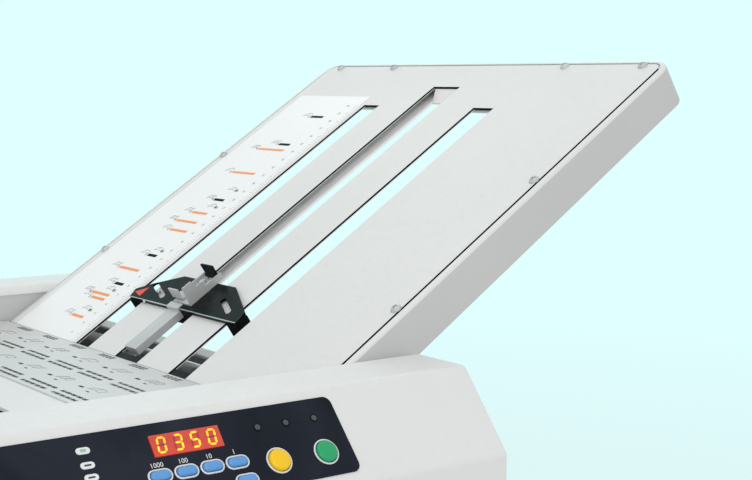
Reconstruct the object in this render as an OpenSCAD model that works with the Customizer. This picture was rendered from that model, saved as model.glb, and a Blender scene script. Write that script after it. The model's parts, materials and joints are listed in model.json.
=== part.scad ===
// Desktop paper folding machine with two fold plates.
// +X is the feed direction, the operator stands at -Y, +Z is up.

/* [Body] */
// Clear width between the two side frames
frame_gap = 362; // [350:2:400]
// Thickness of a side frame
frame_t = 4; // [3:0.5:6]
// X of the body's feed end
body_x0 = -295; // [-310:1:-285]
// X of the body's delivery end
body_x1 = 147.7; // [145:0.5:160]
// Height of the housing tops above the table
housing_top = 350; // [348:1:356]
// Width of a housing's flat top
housing_shelf = 44; // [38:1:52]
// How far the control face runs outwards
slope_run = 33; // [28:1:38]
// How far the control face drops
slope_drop = 39.6; // [35:0.2:45]
// Sheet thickness of housings and covers
skin_t = 2; // [1.5:0.5:2.5]
// Height of the rubber feet
foot_h = 12; // [8:1:16]

/* [Upper fold plate] */
// Slope of the upper fold plate
plate_angle = 33.2; // [32:0.1:34]
// X of the top end of the outer slots
plate_x = 305; // [302:0.5:308]
// Z of the top end of the outer slots
plate_z = 478.6; // [476:0.2:481]
// Width of the plate
plate_w = 358.6; // [340:0.2:359.4]
// Plate length above the outer slots
plate_head = 57.8; // [50:0.2:66]
// Plate length below the slots' top end
plate_tail = 326; // [322:1:328]
// Depth of the frame round the plate
plate_depth = 26.7; // [22:0.1:28]
// Sheet thickness of both fold plates
sheet_t = 1.5; // [1:0.1:1.8]
// Clear gap for the paper
paper_gap = 6.5; // [5.5:0.1:7]
// Y of the far slot's centre
slot_far_y = 63.9; // [60:0.1:68]
// Width of the far slot
slot_far_w = 17.1; // [15:0.1:19]
// Y of the middle slot's centre
slot_mid_y = 4; // [2:0.1:6]
// Width of the middle slot
slot_mid_w = 27.6; // [25:0.1:30]
// How far the middle slot's top end lies above the outer ones
slot_mid_rise = 25.1; // [15:0.1:32]
// Y of the near slot's centre
slot_near_y = -58.7; // [-62:0.1:-55]
// Width of the near slot
slot_near_w = 19.1; // [17:0.1:21]
// Length of the outer slots
slot_len = 290; // [286:1:296]
// How much wider the back sheet's slots are on their far side
back_slot_extra = 22; // [12:1:24]

/* [Paper stop] */
// Distance of the stop's front edge above the slots' lower end
stop_up = 57.5; // [54:0.5:65]
// Depth of the stop's black plate along the slope
stop_depth = 27.6; // [24:0.2:32]
// Height of the stop's top face above the fold plate
stop_h = 3; // [2.6:0.1:5]
// Width of the stop's tail bar
tail_w = 14; // [10:0.5:16]
// Height of the squeeze grip above the fold plate
grip_h = 16; // [12:0.5:20]

/* [Rollers] */
// Distance between the axes of neighbouring fold rollers
roller_pitch = 32; // [31:0.5:33]
// Gap left at each nip
nip_gap = 0.6; // [0.4:0.1:1]
// Length of a roller's barrel
roller_len = 340; // [320:2:346]
// Diameter of every roller journal
journal_d = 10; // [8:0.5:12]
// Running clearance round a journal, on the radius
run_gap = 0.05; // [0.02:0.01:0.08]
// Outer diameter of a bearing
bearing_d = 22; // [18:0.5:23]
// Teeth of each roller gear
gear_teeth = 16; // [14:2:18]
// Diameter of the feed wheels
feed_d = 46; // [42:1:47]
// Diameter of the delivery rollers
exit_d = 26; // [22:1:28]

/* [Tables] */
// Slope of the feed table
table_angle = 8; // [6:0.5:9]
// Length of the feed table
table_len = 345; // [320:5:360]
// Width of the feed table
table_w = 330; // [300:2:340]
// Length of the pull-out extension
extension_len = 210; // [190:5:220]
// Distance from the centre to each side guide
guide_y = 105; // [80:1:130]
// Length of the delivery tray
tray_len = 355.6; // [350:0.2:360]
// Width of the delivery tray
tray_w = 300; // [260:2:330]
// Height of the delivery tray's inner end
tray_z = 118; // [112:1:122]

/* [Control panel] */
// X of the panel's left end
panel_x0 = -160; // [-200:1:-130]
// X of the panel's right end
panel_x1 = 58; // [56:0.5:64]
// Height of the panel along the slope
panel_h = 40; // [40:0.5:44]
// Thickness of the panel overlay
panel_t = 0.6; // [0.4:0.1:1]
// Width of a number key
key_w = 9.8; // [8:0.2:10.6]
// Distance between number keys
key_pitch = 12.9; // [12:0.1:14]
// Diameter of the two round buttons
button_d = 10.8; // [9:0.2:12]

/* [Hidden] */
$fn = 48;
// Clearance between a moving piece and its guide
fit = 0.3;
// Seam between two fixed pieces
seam = 0.2;
// Inner radius of a folded sheet's bends
bend_r = 1;
// Run-over of a cut past a face
over = 1;

// ---------- Plane geometry ----------

function unit(v) = v / norm(v);
function left_of(v) = [-v[1], v[0]];
function reversed(p) = [for (i = [len(p) - 1:-1:0]) p[i]];
function polar(r, a) = r * [cos(a), sin(a)];
function angle_of(v) = atan2(v[1], v[0]);
function turn(p, i) = cross(p[i] - p[i - 1], p[i + 1] - p[i]);

// A fillet of radius r at corner b, between a and c
function arc_at(a, b, c, r, n = 5) =
    let (u = unit(a - b), w = unit(c - b), half = acos(u * w) / 2)
    let (run = r / tan(half), mid = b + unit(u + w) * r / sin(half))
    let (first = b + u * run - mid, last = b + w * run - mid)
    [for (k = [0:n]) mid + r * unit(first * (1 - k / n) + last * (k / n))];

// A closed outline with the same fillet at each corner
function rounded(p, r) =
    let (n = len(p))
    [for (i = [0:n - 1]) each arc_at(p[(i + n - 1) % n], p[i], p[(i + 1) % n], r)];

// An open path moved sideways by t, to the left where t is positive
function moved_path(p, t) = [for (i = [0:len(p) - 1])
    let (a = i == 0 ? p[1] - p[0] : p[i] - p[i - 1])
    let (b = i == len(p) - 1 ? a : p[i + 1] - p[i])
    let (na = left_of(unit(a)), m = unit(na + left_of(unit(b))))
    p[i] + m * t / (m * na)];

// An open path with its corners bent, to r inside the fold and r + |t| outside
function bent_path(p, r, t, side) = [
    p[0],
    for (i = [1:1:len(p) - 2])
        each arc_at(p[i - 1], p[i], p[i + 1], turn(p, i) * side > 0 ? r : r + abs(t)),
    p[len(p) - 1]
];

// The section of a folded sheet of thickness |t| along path p
function sheet(p, t, r = bend_r) =
    concat(bent_path(p, r, t, -sign(t)), reversed(bent_path(moved_path(p, t), r, t, sign(t))));

// Extrudes a section in X and Z along Y, centred at y
module along_y(width, y = 0) {
    translate([0, y, 0]) rotate([90, 0, 0]) linear_extrude(width, center = true) children();
}

// Extrudes a section in Y and Z from x0 to x1
module along_x(x0, x1) {
    translate([x0, 0, 0]) rotate([90, 0, 90]) linear_extrude(x1 - x0) children();
}

// A round bar along Y at p = [x, z]
module bar_y(p, d, y0, y1) {
    translate([p[0], y0, p[1]]) rotate([-90, 0, 0]) cylinder(d = d, h = y1 - y0);
}

// A slot outline of width w and length len, along X
module slot_2d(len, w) {
    square([len - w, w], center = true);
    for (e = [-1, 1]) translate([e * (len - w) / 2, 0]) circle(d = w);
}

// A hole outline kept for both sides of the machine
module both_sides() {
    for (side = [0, 1]) mirror([0, side, 0]) children();
}

// ---------- Places worked out from the sizes ----------

frame_in = frame_gap / 2;
frame_out = frame_in + frame_t;
frame_top = housing_top - 6;
frame_x0 = body_x0 + skin_t + 3;
frame_x1 = body_x1 - skin_t - 3.7;
pan_t = 2;
pan_top = foot_h + pan_t;
pan_lip = 25;

shelf_in = 180;
shelf_out = shelf_in + housing_shelf;
side_out = shelf_out + slope_run;
slope_end = housing_top - slope_drop;
slope_angle = atan2(slope_drop, slope_run);
slope_len = norm([slope_run, slope_drop]);

paper_n = -sheet_t - paper_gap / 2;
back_n = -sheet_t - paper_gap;
function plate_point(v, n) = [
    plate_x + v * cos(plate_angle) - n * sin(plate_angle),
    plate_z + v * sin(plate_angle) + n * cos(plate_angle)
];
module on_plate() {
    translate([plate_x, 0, plate_z]) rotate([0, -plate_angle, 0]) children();
}

// Distance of the first nip below the slots' top end
nip_v = 345;
// Direction of the paper at the first nip, lower plate's slope, delivery slope
entry_angle = 18;
lower_angle = 35;
exit_angle = 10;
roller_d = roller_pitch - nip_gap;
nip_1 = plate_point(-nip_v, paper_n);
across_1 = roller_pitch / 2 * [-sin(entry_angle), cos(entry_angle)];
axis_1 = nip_1 + across_1;
axis_2 = nip_1 - across_1;
axis_3 = axis_2 + roller_pitch * [sin(lower_angle), -cos(lower_angle)];
axis_4 = axis_3 - roller_pitch * [sin(exit_angle), cos(exit_angle)];
nip_2 = (axis_2 + axis_3) / 2;
nip_3 = (axis_3 + axis_4) / 2;

idler_d = 22;
exit_x = 128;
exit_z = nip_3[1] - (exit_x - nip_3[0]) * tan(exit_angle);
exit_axis = [exit_x, exit_z - exit_d / 2];
idler_axis = [exit_x + 1, exit_z + idler_d / 2 + nip_gap];

table_x = -56;
table_z = 281;
function table_point(s, n) = [
    table_x + s * cos(table_angle) + n * sin(table_angle),
    table_z - s * sin(table_angle) + n * cos(table_angle)
];
module on_table() {
    translate([table_x, 0, table_z]) rotate([0, table_angle, 0]) children();
}
feed_s = 16;
feed_axis = table_point(-feed_s, feed_d / 2 + nip_gap);

function lower_point(s, n) = [
    nip_2[0] + s * cos(lower_angle) - n * sin(lower_angle),
    nip_2[1] + s * sin(lower_angle) + n * cos(lower_angle)
];
module on_lower() {
    translate([nip_2[0], 0, nip_2[1]]) rotate([0, -lower_angle, 0]) children();
}

// ---------- Base and frames ----------

bar_d = 12;
table_channel = 5;
lower_skirt = 12;
lower_gap = 6;
lower_out = lower_gap / 2 + sheet_t;
tray_x0 = 136;
tray_slope = 3.5;
function tray_point(s, n) = [
    tray_x0 + s * cos(tray_slope) + n * sin(tray_slope),
    tray_z - s * sin(tray_slope) + n * cos(tray_slope)
];
// Every tie bar touches the piece that it carries
bar_axes = [
    plate_point(-250, -plate_depth - bar_d / 2),
    plate_point(-slot_len - 15, -plate_depth - bar_d / 2),
    table_point(-45, -table_channel - bar_d / 2),
    table_point(-225, -table_channel - bar_d / 2),
    lower_point(-70, -lower_out - lower_skirt - bar_d / 2),
    lower_point(-235, -lower_out - lower_skirt - bar_d / 2),
    tray_point(-10, -sheet_t - bar_d / 2)
];
roller_axes = [axis_1, axis_2, axis_3, axis_4, feed_axis, exit_axis, idler_axis];
motor_axis = [60, 80];
motor_d = 84;
hinge_axis = [-38, 319];
hinge_d = 5;

module base_pan() {
    vents = 9;
    vent_pitch = 14;
    color("gainsboro") difference() {
        along_x(frame_x0, frame_x1) polygon(sheet([
            [-frame_out - seam - pan_t, foot_h + pan_lip],
            [-frame_out - seam - pan_t, foot_h],
            [frame_out + seam + pan_t, foot_h],
            [frame_out + seam + pan_t, foot_h + pan_lip]
        ], pan_t, seam));
        for (i = [0:vents - 1])
            translate([-60 + i * vent_pitch, -90, foot_h - over])
                linear_extrude(pan_t + 2 * over) rotate(90) slot_2d(60, 5);
        for (p = foot_places())
            translate([p[0], p[1], foot_h - over]) cylinder(d = foot_screw_d + fit, h = pan_t + 2 * over);
    }
}

foot_screw_d = 4;
function foot_places() = [for (x = [frame_x0 + 30, frame_x1 - 30], y = [-160, 160]) [x, y]];

module rubber_feet() {
    color("dimgray") for (p = foot_places()) translate([p[0], p[1], 0]) {
        cylinder(d1 = 26, d2 = 30, h = foot_h);
        translate([0, 0, foot_h - over]) cylinder(d = foot_screw_d, h = pan_t + over);
        translate([0, 0, pan_top]) cylinder(d = 8, h = 2.5);
    }
}

module frame_section() {
    polygon(rounded([
        [frame_x0, pan_top], [frame_x1, pan_top], [frame_x1, frame_top], [frame_x0, frame_top]
    ], 4));
}

module side_frame(motor_hole) {
    color("lightgray") along_y(frame_t, frame_in + frame_t / 2) difference() {
        frame_section();
        for (p = roller_axes) translate(p) circle(d = bearing_d + 2 * run_gap);
        for (p = bar_axes) translate(p) circle(d = 6);
        translate(hinge_axis) circle(d = hinge_d);
        if (motor_hole) translate(motor_axis) circle(d = 34);
        for (x = [-250, -205]) translate([x, 190]) rotate(90) slot_2d(90, 24);
        translate([-215, 75]) slot_2d(110, 50);
    }
}

module frame_far() { side_frame(true); }

module frame_near() { mirror([0, 1, 0]) side_frame(false); }

module tie_bars() {
    color("silver") for (p = bar_axes) {
        bar_y(p, bar_d, -frame_in, frame_in);
        both_sides() bar_y(p, 6 - 2 * run_gap, frame_in - over, frame_out);
        both_sides() bar_y(p, 10, frame_out, frame_out + 4);
    }
}

// Sheets that close the feed end, the delivery end and the bay above the exit
module end_panels() {
    flange = 16;
    feed_top = 296;
    tray_gap_z = tray_z - 16;
    upper_z = [axis_3[1], cover_z - 4];
    color("whitesmoke") along_y(frame_gap) {
        polygon(sheet([
            [frame_x0 + flange, pan_top], [frame_x0, pan_top], [frame_x0, feed_top]
        ], -skin_t));
        polygon(sheet([
            [frame_x1 - flange, pan_top], [frame_x1, pan_top], [frame_x1, tray_gap_z]
        ], skin_t));
        polygon(sheet([
            [frame_x1 - flange, upper_z[0]], [frame_x1, upper_z[0]],
            [frame_x1, upper_z[1]], [frame_x1 - flange, upper_z[1]]
        ], skin_t));
    }
}

// ---------- Housings ----------

housing_path = [
    [shelf_in, frame_top], [shelf_in, housing_top], [shelf_out, housing_top],
    [side_out, slope_end], [side_out, foot_h]
];

module housing_shell() {
    shell_r = 4;
    cap = [
        [frame_out + seam, housing_top - skin_t / 2], [shelf_out - over, housing_top - skin_t / 2],
        [side_out - skin_t / 2, slope_end], [side_out - skin_t / 2, foot_h],
        [frame_out + pan_t + 2 * seam, foot_h],
        [frame_out + pan_t + 2 * seam, foot_h + pan_lip + fit],
        [frame_out + seam, foot_h + pan_lip + fit]
    ];
    along_x(body_x0, body_x1) polygon(sheet(housing_path, -skin_t, shell_r));
    along_x(body_x0, body_x0 + skin_t) polygon(cap);
    along_x(body_x1 - skin_t, body_x1) polygon(cap);
}

// Place of the power fittings on the far housing's end
inlet_y = 222;
inlet_z = 62;
inlet_w = 28;
inlet_h = 20;
rocker_z = 100;
rocker_w = 13;
rocker_h = 19;

module housing_far() {
    color("whitesmoke") difference() {
        housing_shell();
        translate([body_x1 - skin_t / 2, inlet_y, inlet_z])
            cube([3 * skin_t, inlet_w, inlet_h], center = true);
        translate([body_x1 - skin_t / 2, inlet_y, rocker_z])
            cube([3 * skin_t, case_w + 2 * seam, case_h + 2 * seam], center = true);
        for (i = [0:6]) translate([body_x0 + 60 + i * 12, side_out, 60])
            rotate([90, 0, 0]) linear_extrude(3 * skin_t, center = true) rotate(90) slot_2d(50, 5);
    }
}

module housing_near() {
    color("whitesmoke") difference() {
        mirror([0, 1, 0]) housing_shell();
        on_slope() panel_cuts(-3 * skin_t, over, fit + 0.3);
    }
}

// ---------- Control panel ----------

// Local X is the machine's X, local Y runs up the slope, local Z points outwards
module on_slope() {
    translate([0, -shelf_out, housing_top]) rotate([slope_angle, 0, 0]) children();
}

// Distances down the slope from the housing's outer top edge
panel_w0 = 5.4;
// How far the overlay's lower right corner stands out past its upper one
panel_lean = 1.7;
display_x = -23.3;
display_w = 16.5;
display_size = [35, 10.5];
key_row_w = 30.5;
key_x0 = -41.3;
key_h = 4.4;
clear_x = -1.1;
clear_w = 39.8;
yellow_x = 18.4;
green_x = 44.5;
button_w = 33.3;
lamp_w = 15.5;
lamp_d = 3;
lamp_xs = [14, 29.4, 45.3];
oval_x = -71.9;
oval_ws = [13.1, 20, 25.7];
oval_size = [6.6, 3.2];
rim = 0.8;
rim_h = 0.5;
key_travel = 1;
// Flange under the skin that keeps a key or a lens in its hole
flange_w = 0.9;
flange_t = 0.8;
flange_gap = 0.1;

key_places = [
    for (i = [0:3]) [key_x0 + i * key_pitch, -key_row_w],
    [clear_x, -clear_w]
];
button_places = [[yellow_x, -button_w], [green_x, -button_w]];

module panel_cuts(z0, z1, gap) {
    translate([0, 0, z0]) linear_extrude(z1 - z0) {
        for (p = key_places) translate(p) slot_2d(key_w + 2 * gap, key_h + 2 * gap);
        for (p = button_places) translate(p) circle(d = button_d + 2 * gap);
        for (x = lamp_xs) translate([x, -lamp_w]) circle(d = lamp_d + gap);
        for (w = oval_ws) translate([oval_x, -w]) slot_2d(oval_size[0] + gap, oval_size[1] + gap);
        translate([display_x, -display_w]) square(display_size + [gap, gap], center = true);
    }
}

module control_overlay() {
    color("darkslategray") on_slope() difference() {
        linear_extrude(panel_t) polygon(rounded([
            [panel_x0, -panel_w0 - panel_h], [panel_x1 + panel_lean, -panel_w0 - panel_h],
            [panel_x1, -panel_w0], [panel_x0, -panel_w0]
        ], 4));
        panel_cuts(-over, panel_t + over, fit);
    }
}

module display_window() {
    color("red") on_slope() translate([display_x, -display_w, -skin_t])
        linear_extrude(skin_t + panel_t + rim_h) square(display_size, center = true);
}

module indicator_lenses() {
    color("lightgreen") on_slope() translate([0, 0, -skin_t]) {
        for (x = lamp_xs) translate([x, -lamp_w, 0]) {
            cylinder(d = lamp_d, h = skin_t + panel_t + 0.4);
            translate([0, 0, -over]) cylinder(d = lamp_d + 1, h = over);
        }
        for (w = oval_ws) translate([oval_x, -w, 0]) {
            linear_extrude(skin_t + panel_t + 0.3) slot_2d(oval_size[0], oval_size[1]);
            translate([0, 0, -over]) linear_extrude(over) slot_2d(oval_size[0] + 1, oval_size[1] + 1);
        }
    }
}

module button_bezels() {
    color("white") on_slope() translate([0, 0, panel_t]) linear_extrude(rim_h) {
        for (p = key_places) translate(p) difference() {
            slot_2d(key_w + 2 * (fit + rim), key_h + 2 * (fit + rim));
            slot_2d(key_w + 2 * fit, key_h + 2 * fit);
        }
        for (p = button_places) translate(p) difference() {
            circle(d = button_d + 2 * (fit + rim));
            circle(d = button_d + 2 * fit);
        }
    }
}

board_z = -13;
board_t = 1.6;
stem_z = -8;

module control_board() {
    color("darkgreen") on_slope() {
        translate([panel_x0 + 12, -panel_w0 - panel_h + 2, board_z - board_t])
            cube([panel_x1 - panel_x0 - 24, panel_h - 8, board_t]);
        for (p = concat(key_places, button_places)) translate([p[0], p[1], board_z - board_t / 2])
            cylinder(d = 4, h = board_t / 2 + stem_z - key_travel - seam - board_z);
        translate([display_x, -display_w, (board_z - skin_t) / 2])
            cube([display_size[0] - 2, display_size[1] - 1, -skin_t - board_z], center = true);
        for (x = [panel_x0 + 18, panel_x1 - 18]) translate([x, -panel_w0 - 8, board_z - board_t / 2])
            cylinder(d = 5, h = board_t / 2 - skin_t - board_z);
    }
}

module number_key(place) {
    base_z = -skin_t - flange_gap - flange_t;
    color("steelblue") on_slope() translate(place) {
        translate([0, 0, base_z]) linear_extrude(panel_t + 1.4 - base_z) slot_2d(key_w, key_h);
        translate([0, 0, base_z]) linear_extrude(flange_t)
            slot_2d(key_w + 2 * flange_w, key_h + 2 * flange_w);
        translate([0, 0, panel_t + 1.4]) linear_extrude(0.5) slot_2d(key_w - 1.4, key_h - 1.4);
        translate([0, 0, stem_z]) cylinder(d = 3, h = -stem_z - over);
    }
}

module number_key_1000() { number_key(key_places[0]); }
module number_key_100() { number_key(key_places[1]); }
module number_key_10() { number_key(key_places[2]); }
module number_key_1() { number_key(key_places[3]); }
module clear_key() { number_key(key_places[4]); }

module round_button(place, tint) {
    base_z = -skin_t - flange_gap - flange_t;
    color(tint) on_slope() translate(place) {
        translate([0, 0, base_z]) cylinder(d = button_d, h = panel_t + 1.6 - base_z);
        translate([0, 0, base_z]) cylinder(d = button_d + 2 * flange_w, h = flange_t);
        translate([0, 0, panel_t + 1.6]) cylinder(d1 = button_d, d2 = button_d - 2, h = 0.8);
        translate([0, 0, stem_z]) cylinder(d = 4, h = -stem_z - over);
    }
}

module yellow_button() { round_button(button_places[0], "gold"); }
module green_button() { round_button(button_places[1], "seagreen"); }

// ---------- Power ----------

module power_supply() {
    supply = [110, 90, 38];
    color("silver") translate([-215, -150, pan_top]) {
        cube([supply[0], supply[1], supply[2]]);
        translate([supply[0], 12, 0]) cube([9, supply[1] - 24, 14]);
    }
}

module power_inlet() {
    color("dimgray") difference() {
        union() {
            translate([body_x1 - 14, inlet_y - inlet_w / 2 + seam, inlet_z - inlet_h / 2 + seam])
                cube([14, inlet_w - 2 * seam, inlet_h - 2 * seam]);
            translate([body_x1, inlet_y - inlet_w / 2 - 9, inlet_z - inlet_h / 2 - 3])
                cube([2, inlet_w + 18, inlet_h + 6]);
        }
        translate([body_x1 - 11, inlet_y - inlet_w / 2 + 3, inlet_z - inlet_h / 2 + 3])
            cube([15, inlet_w - 6, inlet_h - 6]);
    }
    color("silver") for (dy = [-6, 0, 6])
        translate([body_x1 - 12, inlet_y + dy - 1, inlet_z - 4]) cube([9, 2, 5]);
    color("dimgray") switch_case();
}

// The fixed case of the power switch, with the pin that the rocker turns on
case_w = rocker_w + 2.8;
case_h = rocker_h + 2.8;
rocker_pin_d = 2.4;
module switch_case() {
    translate([body_x1, inlet_y, rocker_z]) {
        difference() {
            union() {
                translate([-14, -case_w / 2, -case_h / 2]) cube([14, case_w, case_h]);
                translate([0, -case_w / 2 - 2, -case_h / 2 - 2]) cube([1.2, case_w + 4, case_h + 4]);
            }
            translate([-12, -rocker_w / 2, -rocker_h / 2 - 0.5]) cube([20, rocker_w, rocker_h + 1]);
        }
        translate([rocker_x, 0, 0]) bar_y([0, 0], rocker_pin_d, -rocker_w / 2 - 1, rocker_w / 2 + 1);
    }
}

rocker_x = -3;
module power_switch() {
    half = rocker_h / 2 - 1;
    color("black") translate([body_x1, inlet_y, rocker_z]) difference() {
        along_y(rocker_w - 2 * fit)
            polygon([[-8, -2], [-1, -half], [3.4, -half], [1.6, 0], [3.4, half], [-1, half], [-8, 2]]);
        translate([rocker_x, 0, 0])
            bar_y([0, 0], rocker_pin_d + 2 * run_gap, -rocker_w, rocker_w);
    }
}

// ---------- Upper fold plate ----------

plate_corner = 12;
wall_t = 2;
ledge_w = 14;
plate_screw_d = 6.6;
slots = [
    [slot_far_y, slot_far_w, 0], [slot_mid_y, slot_mid_w, slot_mid_rise],
    [slot_near_y, slot_near_w, 0]
];

// The plate's outline with its two upper corners rounded, drawn in v and Y
module plate_outline(inset, tail) {
    half = plate_w / 2 - inset;
    top = plate_head - inset;
    r = plate_corner - inset;
    polygon(concat(
        [[-tail, -half]],
        arc_at([-tail, -half], [top, -half], [top, half], r),
        arc_at([top, -half], [top, half], [-tail, half], r),
        [[-tail, half]]
    ));
}

module slot_outlines() {
    for (s = slots) translate([-slot_len, s[0] - s[1] / 2]) square([slot_len + s[2], s[1]]);
}

// The back sheet's outer slots open further on the far side, so that light passes through.
// Its middle slot ends lower than the front one.
back_end_drop = 8;
module back_slot_outlines() {
    for (s = slots) translate([-slot_len, s[0] - s[1] / 2])
        square(s[2] > 0 ? [slot_len + s[2] - back_end_drop, s[1]] : [slot_len + 8, s[1] + back_slot_extra]);
}

screw_places = concat(
    [for (y = [-160, -91.5, 91.5, 160]) [plate_head - 7, y]],
    [for (v = [-72, -193], side = [-1, 1]) [v, side * (plate_w / 2 - 7.5)]]
);
screw_hole_d = 3.4;

module screw_holes() {
    for (p = screw_places) translate(p) circle(d = screw_hole_d);
}

module upper_plate_sheet() {
    color("whitesmoke") on_plate() translate([0, 0, -sheet_t]) linear_extrude(sheet_t)
        difference() {
            plate_outline(0, plate_tail);
            slot_outlines();
            screw_holes();
        }
}

frame_tail = 318;
module upper_plate_frame() {
    color("gainsboro") on_plate() {
        translate([0, 0, -plate_depth]) linear_extrude(plate_depth - sheet_t) difference() {
            plate_outline(seam, frame_tail);
            plate_outline(seam + wall_t, frame_tail + over);
        }
        translate([0, 0, back_n]) linear_extrude(paper_gap) difference() {
            plate_outline(seam + over, frame_tail);
            plate_outline(ledge_w, frame_tail + over);
            screw_holes();
        }
    }
}

// A slanting flange joins the back sheet to the front one at the middle slot's upper end
module upper_plate_back() {
    back_tail = 334;
    color("lightgray") on_plate() {
        translate([0, 0, back_n - sheet_t]) linear_extrude(sheet_t) difference() {
            plate_outline(seam + wall_t + fit, back_tail);
            back_slot_outlines();
            screw_holes();
        }
        flange_foot = slot_mid_rise - back_end_drop;
        translate([0, slot_mid_y + slot_mid_w / 2 - fit, 0]) rotate([90, 0, 0])
            linear_extrude(slot_mid_w - 2 * fit) polygon([
                [flange_foot, back_n - over], [flange_foot + 2 * sheet_t, back_n - over],
                [slot_mid_rise + sheet_t, -sheet_t - fit], [slot_mid_rise, -sheet_t - fit]
            ]);
    }
}

module plate_screws() {
    color("silver") on_plate() for (p = screw_places) translate(p) {
        cylinder(d = plate_screw_d, h = 1.2);
        translate([0, 0, 1.2]) cylinder(d1 = plate_screw_d, d2 = 3.6, h = 1.2);
        translate([0, 0, back_n - sheet_t]) cylinder(d = screw_hole_d - 2 * run_gap, h = -back_n + sheet_t);
    }
}

label_t = 0.3;
module scale_label() {
    label_gap = 4.8;
    label_y0 = slot_far_y + slot_far_w / 2 + label_gap;
    label_y1 = plate_w / 2 - 12.6;
    color("white") on_plate() translate([-slot_len, label_y0, 0])
        cube([slot_len + 11, label_y1 - label_y0, label_t]);
}

// Plugs at the slots' lower ends, held between the two sheets
module slot_end_stops() {
    plug_len = 16;
    wing = 3;
    color("black") on_plate() for (s = [slots[1], slots[2]]) {
        translate([-slot_len, s[0] - s[1] / 2, back_n - sheet_t])
            cube([plug_len, s[1], paper_gap + 2 * sheet_t - 0.5]);
        translate([-slot_len, s[0] - s[1] / 2 - wing, back_n])
            cube([plug_len, s[1] + 2 * wing, paper_gap]);
    }
}

// ---------- Paper stop ----------

stop_v = slot_len - stop_up;
module on_stop() {
    on_plate() translate([-stop_v, 0, 0]) children();
}

black_t = 1.5;
// Height of the stop's underside above the fold plate
lift = 0.3;
stop_outline = [
    [0, -63], [9.7, -60.6], [stop_depth, -26.5], [stop_depth, 36.2],
    [14.9, 61.1], [7.6, 72.3], [0, 68.7]
];
grip_t = 1.2;
grip_y = -4;
// The release tab turns on a pin across the back of the carriage
tab_pin = [31, stop_h + 2.6];
tab_pin_d = 1.6;

module stop_plate() {
    color("black") on_stop() {
        difference() {
            translate([0, 0, stop_h - black_t]) linear_extrude(black_t) polygon(stop_outline);
            translate([10.9, 45.6, stop_h - black_t]) rotate(69.5)
                linear_extrude(3 * black_t, center = true) slot_2d(27, 4);
            translate([11.1, -36.9, stop_h - black_t]) rotate(65)
                linear_extrude(3 * black_t, center = true) slot_2d(22, 4);
        }
        translate([0, stop_outline[0][1], lift])
            cube([black_t, stop_outline[6][1] - stop_outline[0][1], stop_h - lift - black_t / 2]);
    }
}

// One finger through each slot, from the stop plate to the back sheet's slot
module stop_fingers() {
    finger_len = 8;
    near_end = -62;
    tip = back_n - sheet_t - 1;
    color("black") on_stop() for (s = slots) {
        y0 = max(s[0] - s[1] / 2 + fit, near_end);
        y1 = s[0] + s[1] / 2 - fit;
        translate([black_t, y0, tip]) cube([finger_len, y1 - y0, stop_h - black_t - tip]);
        translate([0, y0, tip]) cube([black_t + over, y1 - y0, lift - run_gap - tip]);
    }
}

// Lies in the middle slot along its far side and hooks over the stop's front
module stop_tail_bar() {
    top = 1.5;
    depth = 5.2;
    far = slot_mid_y + slot_mid_w / 2 - fit;
    color("silver") on_stop() {
        translate([-38, far - tail_w, top - depth]) cube([38, tail_w, depth]);
        translate([-1.2, far - tail_w, top - over]) cube([1.2, tail_w, stop_h + 1.2 - top + over]);
        translate([-1.2, far - tail_w, stop_h]) cube([5, tail_w, 1.2]);
    }
}

// A base sheet with a lengthwise wall that is shaped for the thumb
module stop_carriage() {
    base = [4.2, 29];
    color("silver") on_stop() {
        translate([base[0], grip_y, stop_h]) cube([base[1] - base[0], 20, grip_t]);
        translate([0, grip_y, 0]) rotate([90, 0, 0]) linear_extrude(grip_t) difference() {
            polygon([
                [base[0], stop_h], [base[0] + 1.3, grip_h], [base[0] + 8.4, grip_h],
                [base[0] + 10.4, stop_h + 8], [base[0] + 13, stop_h + 8.6],
                [base[0] + 16, stop_h + 4.6], [33, stop_h + 4.6], [33, stop_h]
            ]);
            translate(tab_pin) circle(d = tab_pin_d);
        }
        translate([19, grip_y + 16, stop_h]) rotate([90, 0, 0]) linear_extrude(grip_t) difference() {
            square([14, 4.6]);
            translate(tab_pin - [19, stop_h]) circle(d = tab_pin_d);
        }
        translate([tab_pin[0], 0, tab_pin[1]])
            bar_y([0, 0], tab_pin_d, grip_y - grip_t, grip_y + 16);
        translate([24, 6, stop_h + grip_t / 2]) cylinder(d = 4.4, h = 3);
    }
}

// The fixed half of the squeeze grip
module stop_grip_tab() {
    color("lightgray") on_stop() along_y(11.6, grip_y + 15.8)
        polygon(sheet([[13, stop_h + grip_t], [6, stop_h + grip_t], [6, stop_h + 9.4]], -grip_t));
}

// The moving half, sprung against the carriage
module release_tab() {
    tab_w = 14;
    tab_y = grip_y + 7.4;
    color("black") on_stop() difference() {
        union() {
            translate([tab_pin[0] - 0.7, tab_y - tab_w / 2, tab_pin[1]])
                cube([1.4, tab_w, stop_h + 11 - tab_pin[1]]);
            bar_y(tab_pin, 3.2, tab_y - tab_w / 2, tab_y + tab_w / 2);
        }
        bar_y(tab_pin, tab_pin_d + 2 * run_gap, tab_y - tab_w, tab_y + tab_w);
    }
}

// ---------- Lower fold plate ----------

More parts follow.
